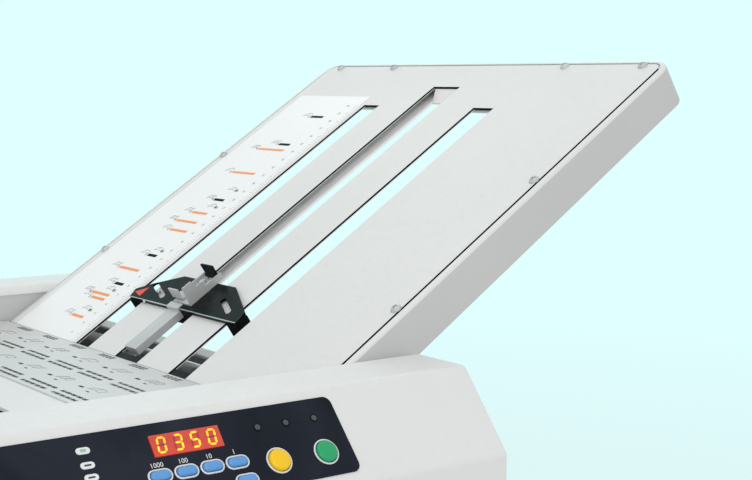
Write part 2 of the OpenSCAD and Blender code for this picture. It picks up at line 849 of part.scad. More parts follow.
lower_w = 340;
lower_head = 26;
lower_tail = 262;
lower_slot_y = 60;
lower_slot_w = 12;
module lower_plate() {
    length = lower_tail - lower_head;
    half = lower_w / 2;
    color("lightgray") on_lower() difference() {
        union() {
            translate([-lower_tail, -half, lower_gap / 2]) cube([length, lower_w, sheet_t]);
            along_x(-lower_tail, -lower_head) polygon(sheet([
                [-half, -lower_out - lower_skirt], [-half, -lower_gap / 2],
                [half, -lower_gap / 2], [half, -lower_out - lower_skirt]
            ], -sheet_t));
            both_sides() translate([-lower_tail, half - 6, -lower_gap / 2 - sheet_t / 2])
                cube([length, 6, lower_gap + sheet_t]);
            translate([-lower_tail, -half, -lower_gap / 2 - sheet_t / 2])
                cube([6, lower_w, lower_gap + sheet_t]);
        }
        both_sides() translate([-lower_tail + 14, lower_slot_y - lower_slot_w / 2, -10])
            cube([length - 48, lower_slot_w, 20]);
    }
}

module lower_stop() {
    color("black") on_lower() translate([-150, 0, lower_out + fit]) {
        translate([-8, -80, 0]) cube([16, 160, 8]);
        both_sides() translate([-4, lower_slot_y - lower_slot_w / 2 + over, -lower_gap - sheet_t])
            cube([8, lower_slot_w - 2 * over, lower_gap + sheet_t + over]);
        translate([0, 0, 7]) cylinder(d = 18, h = 12);
    }
}

// ---------- Feed table ----------

screw_s = 150;
table_lip = 6;
window = [30, 44];
// Slots that the side guides' screws slide in
guide_slot_y = table_w / 2 - 65;
guide_slot_len = 116;
lip_end = [-2, 283];

module feed_table() {
    half = table_w / 2;
    color("whitesmoke") difference() {
        union() {
            on_table() along_x(-table_len, 0) polygon(sheet([
                [-half + table_lip, -table_channel], [-half, -table_channel], [-half, 0],
                [half, 0], [half, -table_channel], [half - table_lip, -table_channel]
            ], -sheet_t, 0.6));
            along_y(table_w - 8) polygon(sheet([lip_end, [table_x, table_z], table_point(-8, 0)], sheet_t, 3));
        }
        on_table() translate([-feed_s, 0, 0]) cube([window[0], window[1], 20], center = true);
        on_table() both_sides() translate([-screw_s, guide_slot_y, 0])
            linear_extrude(20, center = true) rotate(90) slot_2d(guide_slot_len, 5);
    }
}

module separator_pad() {
    color("saddlebrown") on_table() {
        translate([-feed_s, 0, -2.4]) cube([window[0] - 2, window[1] - 2, 4.4], center = true);
        translate([-feed_s, 0, -sheet_t - 1.5]) cube([window[0] + 6, window[1] + 8, 3], center = true);
    }
}

extension_out = 95;
module table_extension() {
    half = table_w / 2 - sheet_t - 0.4;
    tray_t = 1.2;
    color("gainsboro") on_table() along_y(2 * half) polygon(sheet([
        [-table_len - extension_out + extension_len, -sheet_t - fit - tray_t],
        [-table_len - extension_out, -sheet_t - fit - tray_t],
        [-table_len - extension_out, 16]
    ], -tray_t));
}

module side_guide() {
    base_w = 30;
    guide_t = 1.5;
    color("silver") on_table() difference() {
        along_x(-235, -50) polygon(sheet([
            [guide_y, 30], [guide_y, fit], [guide_y + base_w, fit]
        ], guide_t));
        translate([-screw_s, guide_y + 15, 0]) cylinder(d = 4.4, h = 20, center = true);
    }
    color("black") on_table() translate([-screw_s, guide_y + 15, 0]) {
        translate([0, 0, -sheet_t - fit]) cylinder(d = 4.2, h = sheet_t + 2 * fit + guide_t);
        translate([0, 0, fit + guide_t]) cylinder(d = 15, h = 8);
        translate([0, 0, -sheet_t - fit - 2.6]) cylinder(d = 9, h = 2.6);
    }
}

module side_guide_far() { side_guide(); }
module side_guide_near() { mirror([0, 1, 0]) side_guide(); }

// ---------- Rollers and drive ----------

shaft_end = frame_out + 6;
gear_y0 = frame_out + 4;
gear_t = 8;
belt_w = 9;
far_belt_y = gear_y0 + gear_t + 7;
near_belt_y = -frame_out - 8.5;
belt_t = 2;
pulley_w = belt_w + 1;

// Involute flank: half the tooth's angle at radius r
gear_module = roller_pitch / gear_teeth;
gear_pitch_r = roller_pitch / 2;
gear_base_r = gear_pitch_r * cos(20);
gear_tip_r = gear_pitch_r + 0.8 * gear_module;
gear_root_r = gear_pitch_r - 1.15 * gear_module;
gear_backlash = 0.25;
function involute_deg(r) = let (a = acos(gear_base_r / r)) tan(a) * 180 / PI - a;
function tooth_half(r) = 90 / gear_teeth - gear_backlash / gear_pitch_r * 180 / PI
    + involute_deg(gear_pitch_r) - involute_deg(r);
function tooth(a) =
    let (n = 4, step = (gear_tip_r - gear_base_r) / n)
    let (radii = [for (k = [0:n]) gear_base_r + k * step])
    concat(
        [polar(gear_root_r, a - tooth_half(gear_base_r))],
        [for (r = radii) polar(r, a - tooth_half(r))],
        [for (r = reversed(radii)) polar(r, a + tooth_half(r))],
        [polar(gear_root_r, a + tooth_half(gear_base_r))]
    );

module gear_2d(phase) {
    polygon([for (k = [0:gear_teeth - 1]) each tooth(phase + k * 360 / gear_teeth)]);
}

// The phase that meshes with a neighbour across the line of centres
function next_phase(from, to, phase) =
    2 * angle_of(to - from) + 180 - phase + 180 / gear_teeth;
phase_1 = 0;
phase_2 = next_phase(axis_1, axis_2, phase_1);
phase_3 = next_phase(axis_2, axis_3, phase_2);
phase_4 = next_phase(axis_3, axis_4, phase_3);

module fold_roller(p, phase, far_end, near_end) {
    color("dimgray") bar_y(p, roller_d, -roller_len / 2, roller_len / 2);
    color("silver") bar_y(p, journal_d, -near_end, far_end);
    color("ivory") translate([p[0], 0, p[1]])
        along_y(gear_t, gear_y0 + gear_t / 2) gear_2d(phase);
}

module pulley(p, r, y) { bar_y(p, 2 * r, y - pulley_w / 2, y + pulley_w / 2); }

gear_end = gear_y0 + gear_t + over;
far_pulley_end = far_belt_y + pulley_w / 2 + over;
near_pulley_end = -near_belt_y + pulley_w / 2 + over;
motor_r = 12;
main_r = 20;
feed_drive_r = 12;
feed_r = 15;
exit_drive_r = 12;
exit_r = 10;

module fold_roller_1() {
    fold_roller(axis_1, phase_1, gear_end, near_pulley_end);
    color("black") pulley(axis_1, feed_drive_r, near_belt_y);
}
module fold_roller_2() {
    fold_roller(axis_2, phase_2, far_pulley_end, shaft_end);
    color("black") pulley(axis_2, main_r, far_belt_y);
}
module fold_roller_3() { fold_roller(axis_3, phase_3, gear_end, shaft_end); }
module fold_roller_4() {
    fold_roller(axis_4, phase_4, gear_end, near_pulley_end);
    color("black") pulley(axis_4, exit_drive_r, near_belt_y);
}

module roller_bearings() {
    color("silver") for (p = roller_axes) both_sides() difference() {
        bar_y(p, bearing_d, frame_in, frame_out + 2.5);
        bar_y(p, journal_d + 2 * run_gap, frame_in - over, frame_out + 4);
    }
}

module feed_shaft() {
    color("silver") bar_y(feed_axis, journal_d, -near_pulley_end, shaft_end);
    color("black") pulley(feed_axis, feed_r, near_belt_y);
}

module feed_wheels() {
    color("darkslategray") for (y = [-38, 8]) difference() {
        bar_y(feed_axis, feed_d, y, y + 30);
        bar_y(feed_axis, journal_d, y - over, y + 31);
    }
}

module exit_roller() {
    color("silver") bar_y(exit_axis, journal_d, -near_pulley_end, shaft_end);
    color("dimgray") for (y = [-110, -15, 80]) bar_y(exit_axis, exit_d, y, y + 30);
    color("black") pulley(exit_axis, exit_r, near_belt_y);
}

module exit_idler() {
    color("silver") bar_y(idler_axis, journal_d, -shaft_end, shaft_end);
    color("ivory") for (y = [-110, -15, 80]) bar_y(idler_axis, idler_d, y, y + 30);
}

// A belt's outline, moved out by t from two pulleys of radii ra and rb
function belt_loop(a, ra, b, rb, t) =
    let (d = norm(b - a), base = angle_of(b - a), lean = acos((ra - rb) / d), n = 16)
    concat(
        [for (k = [0:n]) a + polar(ra + t, base + lean + k * (360 - 2 * lean) / n)],
        [for (k = [0:n]) b + polar(rb + t, base - lean + k * 2 * lean / n)]
    );

module belt(a, ra, b, rb, y) {
    along_y(belt_w, y) difference() {
        polygon(belt_loop(a, ra, b, rb, fit + belt_t));
        polygon(belt_loop(a, ra, b, rb, fit));
    }
}

module drive_belts() {
    color("black") {
        belt(motor_axis, motor_r, axis_2, main_r, far_belt_y);
        belt(feed_axis, feed_r, axis_1, feed_drive_r, near_belt_y);
        belt(axis_4, exit_drive_r, exit_axis, exit_r, near_belt_y);
    }
}

motor_shaft_in = frame_in - 40;
module motor() {
    motor_len = 112;
    color("slategray") difference() {
        union() {
            bar_y(motor_axis, motor_d, frame_in - seam - motor_len, frame_in - seam);
            for (y = [frame_in - motor_len, frame_in - 22])
                translate([motor_axis[0] - 36, y, pan_top]) cube([72, 14, 34]);
            translate([motor_axis[0] - 25, frame_in - 90, motor_axis[1] + 30]) cube([50, 50, 24]);
        }
        bar_y(motor_axis, journal_d + 2 * run_gap, motor_shaft_in - over, frame_in);
    }
}

module motor_pulley() {
    color("silver") bar_y(motor_axis, journal_d, motor_shaft_in, far_pulley_end);
    color("black") pulley(motor_axis, motor_r, far_belt_y);
}

// ---------- Delivery ----------

module delivery_guide() {
    width = frame_gap;
    chute_dir = [cos(exit_angle), -sin(exit_angle)];
    chute_up = [sin(exit_angle), cos(exit_angle)];
    start = 22;
    end = 72;
    color("lightgray") along_y(width) {
        polygon(sheet([
            nip_3 + start * chute_dir - 8 * chute_up,
            nip_3 + (start + 8) * chute_dir - 3 * chute_up,
            nip_3 + end * chute_dir - 3 * chute_up
        ], -sheet_t, 0.5));
        polygon(sheet([
            nip_3 + start * chute_dir + 10 * chute_up,
            nip_3 + (start + 8) * chute_dir + 4 * chute_up,
            nip_3 + end * chute_dir + 4 * chute_up
        ], sheet_t, 0.5));
    }
}

tray_slot_y = 90;
module on_tray() {
    translate([tray_x0, 0, tray_z]) rotate([0, tray_slope, 0]) children();
}

module delivery_tray() {
    half = tray_w / 2;
    leg_s = 270;
    leg_w = 140;
    leg_a = tray_point(leg_s - 25, -sheet_t / 2);
    leg_b = tray_point(leg_s, -sheet_t / 2);
    color("whitesmoke") difference() {
        union() {
            on_tray() along_x(-16, tray_len) polygon(sheet([
                [-half, -12], [-half, 0], [half, 0], [half, -12]
            ], -sheet_t));
            on_tray() along_y(tray_w) polygon(sheet([
                [tray_len - 8, 0], [tray_len, 0], [tray_len, 14]
            ], sheet_t));
        }
        on_tray() both_sides() translate([190, tray_slot_y, 0])
            linear_extrude(20, center = true) slot_2d(250, 5);
        on_tray() both_sides() translate([-10 - bar_d / 2 - seam, half - 4, -12 - over])
            cube([bar_d + 2 * seam, 5, 12 + over - sheet_t]);
    }
    color("gainsboro") along_y(leg_w) polygon(sheet([
        leg_a, leg_b, [leg_b[0] + 20, sheet_t], [leg_b[0] + 45, sheet_t]
    ], -sheet_t));
}

tray_stop_s = 230;
tray_stop_w = 230;
module delivery_stop() {
    foot = 26;
    rise = 26;
    wall = 2;
    color("black") on_tray() translate([tray_stop_s, 0, fit]) {
        translate([0, -tray_stop_w / 2, 0]) cube([foot, tray_stop_w, wall]);
        translate([foot - wall, -tray_stop_w / 2, 0]) cube([wall, tray_stop_w, rise]);
        both_sides() translate([13, tray_slot_y, -sheet_t - 2 * fit]) {
            cylinder(d = 4.4, h = sheet_t + 2 * fit + over);
            translate([0, 0, -2]) cylinder(d = 9, h = 2);
        }
        both_sides() translate([13, tray_slot_y, 2]) cylinder(d = 12, h = 6);
    }
}

// ---------- Top cover ----------

cover_z = 326;
cover_x0 = -42;
cover_w = 358;
cover_skirt = 14;
// The cover's far edge is cut to the plate's slope, with a small gap
cover_gap = 0.5;
function plate_x_at(z) = plate_x + (z - plate_z) / tan(plate_angle) - cover_gap / sin(plate_angle);

module top_cover() {
    half = cover_w / 2;
    skirt_x1 = plate_x_at(cover_z - cover_skirt - 3);
    color("whitesmoke") difference() {
        union() {
            along_y(cover_w) polygon([
                [cover_x0, cover_z - skin_t], [plate_x_at(cover_z - skin_t), cover_z - skin_t],
                [plate_x_at(cover_z), cover_z], [cover_x0, cover_z]
            ]);
            both_sides() translate([cover_x0, half - sheet_t, cover_z - cover_skirt])
                cube([skirt_x1 - cover_x0, sheet_t, cover_skirt - over]);
        }
        bar_y(hinge_axis, hinge_d + 2 * run_gap, -half - over, half + over);
    }
}

module fold_table_label() {
    label_x0 = -11;
    margin = 1;
    color("lightgray") translate([label_x0, -cover_w / 2 + margin, cover_z])
        cube([plate_x_at(cover_z) - margin - label_x0, cover_w - 2 * margin, label_t]);
}

module cover_hinge_pins() {
    color("silver") both_sides() {
        bar_y(hinge_axis, hinge_d, cover_w / 2 - 5, frame_out);
        bar_y(hinge_axis, 9, frame_out, frame_out + 2);
    }
}

base_pan();
rubber_feet();
frame_far();
frame_near();
tie_bars();
housing_far();
housing_near();
control_overlay();
display_window();
indicator_lenses();
button_bezels();
control_board();
power_supply();
power_inlet();
power_switch();
upper_plate_sheet();
upper_plate_frame();
upper_plate_back();
plate_screws();
scale_label();
slot_end_stops();
stop_plate();
stop_carriage();
stop_grip_tab();
stop_fingers();
stop_tail_bar();
release_tab();
end_panels();
lower_plate();
lower_stop();
feed_table();
table_extension();
side_guide_far();
side_guide_near();
separator_pad();
feed_shaft();
feed_wheels();
delivery_guide();
exit_roller();
exit_idler();
delivery_tray();
delivery_stop();
motor();
motor_pulley();
roller_bearings();
fold_roller_1();
fold_roller_2();
fold_roller_3();
fold_roller_4();
drive_belts();
top_cover();
fold_table_label();
cover_hinge_pins();
number_key_1000();
number_key_100();
number_key_10();
number_key_1();
clear_key();
yellow_button();
green_button();
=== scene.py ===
"""Desktop paper folder: finishes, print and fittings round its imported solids."""

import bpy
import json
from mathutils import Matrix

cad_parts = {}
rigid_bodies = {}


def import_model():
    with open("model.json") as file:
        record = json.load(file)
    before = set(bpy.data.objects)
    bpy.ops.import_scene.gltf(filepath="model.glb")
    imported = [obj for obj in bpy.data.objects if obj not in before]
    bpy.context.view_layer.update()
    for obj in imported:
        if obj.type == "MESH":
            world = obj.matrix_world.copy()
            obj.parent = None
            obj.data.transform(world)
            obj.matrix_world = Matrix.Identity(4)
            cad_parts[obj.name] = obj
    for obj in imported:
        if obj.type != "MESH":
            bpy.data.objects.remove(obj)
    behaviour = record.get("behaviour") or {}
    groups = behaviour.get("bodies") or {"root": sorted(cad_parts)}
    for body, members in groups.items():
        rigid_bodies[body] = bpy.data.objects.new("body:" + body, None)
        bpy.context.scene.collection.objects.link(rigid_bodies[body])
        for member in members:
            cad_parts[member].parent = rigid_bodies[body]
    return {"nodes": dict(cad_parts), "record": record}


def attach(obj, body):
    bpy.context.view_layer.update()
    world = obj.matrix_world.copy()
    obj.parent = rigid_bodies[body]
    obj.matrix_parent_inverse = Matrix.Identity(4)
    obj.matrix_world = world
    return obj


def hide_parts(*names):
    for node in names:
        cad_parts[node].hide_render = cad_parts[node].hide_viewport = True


bl_info = {
    "name": "Desktop paper folder",
    "version": (1, 0, 0),
    "blender": (4, 5, 0),
    "location": "3D View > Sidebar > Paper folder",
    "description": "Builds a desktop paper folder's panels, print, controls and rollers",
    "category": "Object",
}

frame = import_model()

import json
from functools import cache
from math import acos, atan2, cos, pi, radians, sin, tan

import bmesh
import bpy
from bpy.props import FloatProperty, FloatVectorProperty, IntProperty, PointerProperty
from mathutils import Matrix, Vector

MM = 0.001
NODES = frame["nodes"]
SLOTS = {row["node"]: row["material_slot"] for row in frame["record"]["subparts"]}
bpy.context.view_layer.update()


# ---------- Places on the machine, in millimetres ----------

def climbing(x, z, slope):
    """A place whose local X climbs by slope degrees and whose local Z is its outward side."""
    a = radians(slope)
    return Matrix(((cos(a), 0, -sin(a), x), (0, 1, 0, 0), (sin(a), 0, cos(a), z), (0, 0, 0, 1)))


PLATE = climbing(305, 478.6, 33.2)
STOP_V = -232.5
STOP = PLATE @ Matrix.Translation((STOP_V, 0, 0))
FACE = Matrix.Translation((0, -224, 350)) @ Matrix.Rotation(atan2(39.6, 33), 4, "X")
COVER = Matrix.Translation((0, 0, 326))
UPRIGHT = Matrix.Identity(4)


def in_metres(value):
    """Millimetres as metres; a whole number is a count and stays."""
    if isinstance(value, tuple):
        return tuple(c * MM for c in value)
    return value if isinstance(value, int) else value * MM


def along_y(x, z):
    """A place whose local Z runs along the machine's Y."""
    return Matrix.Translation((x, 0, z)) @ Matrix.Rotation(radians(-90), 4, "X")


# ---------- Outlines, anticlockwise lists of (x, y) in millimetres ----------

def pill(width, height, steps=8):
    """A slot shape; a circle where width and height agree."""
    r, run = height / 2, (width - height) / 2
    right = [(run + r * cos(a), r * sin(a)) for a in (radians(-90 + 180 * k / steps) for k in range(steps + 1))]
    return right + [(-x, -y) for x, y in right]


def circle(diameter, steps=8):
    return pill(diameter, diameter, steps)


def shifted(outline, at):
    return [(x + at[0], y + at[1]) for x, y in outline]


def tiers(rows, at=(0, 0), size=(0, 0), steps=8):
    """Levels for a stack: each row is how far outside a pill of this size, and its height."""
    return [(shifted(pill(size[0] + 2 * out, size[1] + 2 * out, steps), at), z) for out, z in rows]


def rounded(points, radii, steps):
    """Points with a fillet at each corner, where its radius isn't 0."""
    out = []
    for i, (p, r) in enumerate(zip(points, radii)):
        b, a, c = Vector(p), Vector(points[i - 1]), Vector(points[(i + 1) % len(points)])
        if r <= 0:
            out.append(tuple(b))
            continue
        u, w = (a - b).normalized(), (c - b).normalized()
        half = acos(max(-1, min(1, u.dot(w)))) / 2
        mid = b + (u + w).normalized() * r / sin(half)
        first, last = b + u * r / tan(half) - mid, b + w * r / tan(half) - mid
        for k in range(steps + 1):
            t = k / steps
            out.append(tuple(mid + (first * (1 - t) + last * t).normalized() * r))
    return out


def block(x0, x1, y0, y1):
    return [(x0, y0), (x1, y0), (x1, y1), (x0, y1)]


def moved_in(loop, d):
    """A closed outline moved inwards by d, outwards where d is negative."""
    out = []
    for i, p in enumerate(loop):
        b, a, c = Vector(p), Vector(loop[i - 1]), Vector(loop[(i + 1) % len(loop)])
        e, f = (b - a), (c - b)
        if e.length < 1e-9 or f.length < 1e-9:
            e = f = (c - a)
        n, m = Vector((-e.y, e.x)).normalized(), Vector((-f.y, f.x)).normalized()
        s = (n + m).normalized()
        out.append(tuple(b + s * d / max(0.2, s.dot(n))))
    return out


# ---------- Mesh work ----------

FIGURE_HEIGHT = 0.7  # of the font's size


class Work:
    """Gathers closed shells in millimetres and puts them in their place as one piece."""

    def __init__(self, place=UPRIGHT):
        self.bm = bmesh.new()
        self.place = place

    def row(self, outline, z):
        return [self.bm.verts.new((x, y, z)) for x, y in outline]

    def walls(self, rows, finish=0, closed=True):
        """Quads between each row of corners and the next."""
        for low, high in zip(rows, rows[1:]):
            for i in range(len(low) - (not closed)):
                j = (i + 1) % len(low)
                self.bm.faces.new((low[i], low[j], high[j], high[i])).material_index = finish

    def stack(self, levels, finish=0, ring=False):
        """Joins outlines of one count of points: levels is a list of (outline, height)."""
        rows = [self.row(*level) for level in levels]
        self.walls(rows + rows[:1] if ring else rows, finish)
        if not ring:
            for end in (rows[0][::-1], rows[-1]):
                self.bm.faces.new(end).material_index = finish

    def prism(self, outline, z0, z1, finish=0, soft=0.0, steps=2):
        """A flat piece with its upper edge rounded by soft."""
        levels = [(outline, z0)]
        for k in range(steps + 1 if soft else 1):
            a = radians(90 * k / steps) if soft else 0
            levels.append((moved_in(outline, soft * (1 - cos(a))), z1 - soft + soft * sin(a)))
        self.stack(levels, finish)

    def line(self, p, q, width, z0, z1, finish=0):
        p, q = Vector(p), Vector(q)
        s = Vector((p.y - q.y, q.x - p.x)).normalized() * width / 2
        self.prism([p - s, q - s, q + s, p + s], z0, z1, finish)

    def pierced(self, outline, holes, z0, z1, soft=0.4):
        """A flat sheet with holes and softly rounded upper edges."""
        tops, feet = [], []
        for loop, side in [(outline, 1)] + [(hole, -1) for hole in holes]:
            levels = [(loop, z0), (loop, z0 * 0.7 + z1 * 0.3), (loop, z1 - soft),
                      (moved_in(loop, side * soft * 0.3), z1 - soft * 0.3), (moved_in(loop, side * soft), z1)]
            rows = [self.row(*level) for level in levels]
            self.walls(rows)
            for row, kept in ((rows[-1], tops), (rows[0], feet)):
                kept.extend(self.bm.edges.get((row[i], row[(i + 1) % len(row)])) for i in range(len(row)))
        for edges in (tops, feet):
            bmesh.ops.triangle_fill(self.bm, edges=edges, use_beauty=True)

    def figures(self, text, height, at, z0, z1, turn=0.0, finish=0):
        """Plain numbers as a thin raised print, centred at a point."""
        data = bpy.data.curves.new("figures", "FONT")
        data.body, data.size, data.extrude = text, height / FIGURE_HEIGHT, (z1 - z0) / 2
        data.align_x = data.align_y = "CENTER"
        data.resolution_u = 3
        letters = linked("figures", data)
        mesh = evaluated(letters)
        mesh.transform(Matrix.Translation((*at, (z0 + z1) / 2)) @ Matrix.Rotation(radians(turn), 4, "Z"))
        before = len(self.bm.faces)
        self.bm.from_mesh(mesh)
        self.bm.faces.ensure_lookup_table()
        for face in self.bm.faces[before:]:
            face.material_index = finish
        bpy.data.objects.remove(letters)
        bpy.data.curves.remove(data)
        bpy.data.meshes.remove(mesh)

    def mesh(self, name):
        """The shells in metres at their place, which ends the gathering."""
        mesh = mesh_of(self.bm, name)
        mesh.transform(Matrix.Scale(MM, 4) @ self.place)
        return mesh

    def piece(self, name, finishes, body="machine", **facts):
        bmesh.ops.remove_doubles(self.bm, verts=self.bm.verts, dist=1e-5)
        bmesh.ops.recalc_face_normals(self.bm, faces=self.bm.faces)
        place_piece(name, self.mesh(name), finishes, body, **facts)


def mesh_of(bm, name):
    mesh = bpy.data.meshes.new(name)
    bm.to_mesh(mesh)
    bm.free()
    return mesh


def linked(name, data):
    made = bpy.data.objects.new(name, data)
    bpy.context.scene.collection.objects.link(made)
    return made


def evaluated(source):
    """A plain mesh of what an object's modifiers or its font make."""
    bpy.context.view_layer.update()
    return bpy.data.meshes.new_from_object(source.evaluated_get(bpy.context.evaluated_depsgraph_get()))


def place_piece(name, mesh, finishes, body, stands_for=None, slot=None, smooth=35):
    """Links a mesh as a finished piece that rides on a body; finishes are names with spaces between."""
    piece = linked(name, mesh)
    if not mesh.materials:
        for finish in finishes.split():
            mesh.materials.append(material(finish))
    for polygon in mesh.polygons:
        polygon.use_smooth = True
    mesh.set_sharp_from_angle(angle=radians(smooth))
    piece.modifiers.new("Even shading", "WEIGHTED_NORMAL").keep_sharp = True
    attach(piece, body)
    if stands_for:
        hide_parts(stands_for)
        slot or SLOTS[stands_for]


def body_of(node):
    return NODES[node].parent.name.split(":", 1)[1]


MERGED = 2e-6          # metres within which a CAD mesh's corners are one
FLAT, SHARP = 0.6, 30  # degrees below which faces are one, and above which an edge is broken


def worked(finish=None, steps=2, **radii):
    """The solids of nodes, with their sharp edges broken by radii in millimetres."""
    for node, radius in radii.items():
        bm = bmesh.new()
        bm.from_mesh(NODES[node].data)
        bmesh.ops.remove_doubles(bm, verts=bm.verts, dist=MERGED)
        bmesh.ops.dissolve_limit(bm, angle_limit=radians(FLAT), verts=bm.verts, edges=bm.edges)
        edges = [e for e in bm.edges if len(e.link_faces) == 2 and e.calc_face_angle(0) > radians(SHARP)]
        bmesh.ops.bevel(bm, geom=edges, offset=radius * MM, offset_type="OFFSET", segments=steps,
                        profile=0.5, affect="EDGES", clamp_overlap=True)
        name = node + "_shape"
        place_piece(name, mesh_of(bm, name), finish or SLOTS[node], body_of(node), node)


# ---------- Node trees ----------

class Graph:
    """Adds nodes to a shader or geometry tree and joins them as it goes."""

    def __init__(self, tree):
        self.tree = tree

    def add(self, kind, values=None, **settings):
        node = self.tree.nodes.new(kind)
        for key, value in settings.items():
            setattr(node, key, value)
        for key, value in (values or {}).items():
            self.feed(node.inputs[key], value)
        return node

    def first(self, kind, values=None, **settings):
        """The first output of a new node."""
        return self.add(kind, values, **settings).outputs[0]

    def feed(self, socket, value):
        if isinstance(value, bpy.types.NodeSocket):
            self.tree.links.new(value, socket)
        else:
            socket.default_value = value

    def math(self, operation, *values):
        return self.first("ShaderNodeMath", dict(enumerate(values)), operation=operation)

    def here(self):
        return self.add("ShaderNodeTexCoord").outputs["Object"]

    def noise(self, where, scale, detail, **more):
        return self.first("ShaderNodeTexNoise", {"Vector": where, "Scale": scale, "Detail": detail, **more})

    def spread(self, value, low, high, start=0.3, end=0.7):
        """A value's run from start to end, stretched to run from low to high."""
        return self.first("ShaderNodeMapRange", {"Value": value, "From Min": start, "From Max": end,
                                                 "To Min": low, "To Max": high})

    def mix(self, mask, low, high):
        node = self.add("ShaderNodeMix", data_type="RGBA")
        colours = [s for s in node.inputs if s.type == "RGBA"]
        for socket, value in zip([node.inputs[0], *colours], (mask, low, high)):
            self.feed(socket, value)
        return [s for s in node.outputs if s.type == "RGBA"][0]

    def bump(self, height, distance, strength):
        return self.first("ShaderNodeBump", {"Height": height, "Distance": distance, "Strength": strength})

    def corner(self, x, y, z):
        return self.first("ShaderNodeCombineXYZ", {"X": x, "Y": y, "Z": z})

    def cube(self, size):
        return self.first("GeometryNodeMeshCube", {"Size": size})

    def moved(self, shape, **how):
        return self.first("GeometryNodeTransform", {"Geometry": shape, **how})


def cleared(data):
    """A graph on the emptied node tree of a material or world."""
    data.use_nodes = True
    data.node_tree.nodes.clear()
    return Graph(data.node_tree)


NUMBER, WHOLE, VECTOR = "NodeSocketFloat", "NodeSocketInt", "NodeSocketVector"
SHAPE, FINISH = "NodeSocketGeometry", "NodeSocketMaterial"


def new_tree(name, kind, inputs, outputs):
    """A node group with named inputs (name, socket kind, default, lowest, highest) and outputs."""
    tree = bpy.data.node_groups.new(name, kind)
    for label, socket_kind, *facts in inputs:
        socket = tree.interface.new_socket(label, in_out="INPUT", socket_type=socket_kind)
        if facts:
            socket.default_value = facts[0]
        if len(facts) > 2:
            socket.min_value, socket.max_value = facts[1:3]
    for label, socket_kind in outputs:
        tree.interface.new_socket(label, in_out="OUTPUT", socket_type=socket_kind)
    graph = Graph(tree)
    return graph, graph.add("NodeGroupInput").outputs, graph.add("NodeGroupOutput").inputs


# ---------- Effects that finishes share ----------

def new_effect(name, inputs, masks):
    return new_tree(name, "ShaderNodeTree", inputs, [(mask, NUMBER) for mask in masks])


@cache
def sprayed_coat():
    """Orange peel, slow changes of tone, and dust on the upper sides of sprayed enamel."""
    g, given, out = new_effect("Sprayed coat", [("Peel size", NUMBER, 900.0, 1.0, 5000.0),
                                                ("Patch size", NUMBER, 7.0, 0.1, 100.0)],
                               ("Peel", "Patches", "Dust"))
    where = g.here()
    up = g.add("ShaderNodeSeparateXYZ", {0: g.add("ShaderNodeNewGeometry").outputs["Normal"]}).outputs["Z"]
    specks = g.spread(g.noise(where, 260.0, 3.0), 0, 1, 0.52, 0.72)
    g.feed(out["Peel"], g.noise(where, given["Peel size"], 2.0))
    g.feed(out["Patches"], g.noise(where, given["Patch size"], 4.0, Roughness=0.6))
    g.feed(out["Dust"], g.math("MULTIPLY", g.spread(up, 0, 1, 0.5, 1.0), specks))
    return g.tree


@cache
def drawn_lines():
    """Fine lines that rolling, grinding or brushing leaves in metal."""
    g, given, out = new_effect("Drawn lines", [("Stretch", VECTOR, (4.0, 600.0, 600.0)),
                                               ("Cloud size", NUMBER, 18.0, 0.1, 200.0)], ("Lines", "Clouds"))
    where = g.here()
    pulled = g.first("ShaderNodeVectorMath", {0: where, 1: given["Stretch"]}, operation="MULTIPLY")
    g.feed(out["Lines"], g.noise(pulled, 1.0, 3.0, Roughness=0.7))
    g.feed(out["Clouds"], g.noise(where, given["Cloud size"], 3.0))
    return g.tree


@cache
def moulded_grain():
    """Pebble grain and handling marks on plastic and rubber."""
    g, given, out = new_effect("Moulded grain", [("Grain size", NUMBER, 1400.0, 1.0, 6000.0),
                                                 ("Mark size", NUMBER, 30.0, 0.1, 400.0)], ("Grain", "Marks"))
    where = g.here()
    pebbles = {"Vector": where, "Scale": given["Grain size"]}
    g.feed(out["Grain"], g.first("ShaderNodeTexVoronoi", pebbles, feature="SMOOTH_F1"))
    g.feed(out["Marks"], g.noise(where, given["Mark size"], 5.0, Distortion=0.8))
    return g.tree


# An effect, and its masks for tone, roughness and relief
COAT = (sprayed_coat, "Patches", "Patches", "Peel")
DRAWN = (drawn_lines, "Clouds", "Lines", "Lines")
MOULDED = (moulded_grain, "Marks", "Marks", "Grain")
DUST = (0.62, 0.61, 0.58, 1.0)


# ---------- Finishes ----------

def srgb(red, green, blue):
    """A colour as seen on a screen, from 0 to 255, as Blender's linear values."""
    return tuple((c / 255 / 12.92) if c <= 10 else ((c / 255 + 0.055) / 1.055) ** 2.4 for c in (red, green, blue))


def colour(name):
    return (*getattr(bpy.context.scene.folder_colours, name), 1.0)


def shaded(c, k):
    return (c[0] * k, c[1] * k, c[2] * k, 1.0)


def blank(name, tint, values):
    """A material with only its shader, and the shader's inputs."""
    made = bpy.data.materials.new(name + "_finish")
    made.diffuse_color = tint
    g = cleared(made)
    shader = g.add("ShaderNodeBsdfPrincipled", {"Base Color": tint, **values})
    g.add("ShaderNodeOutputMaterial", {"Surface": shader.outputs[0]})
    return made, g, shader.inputs


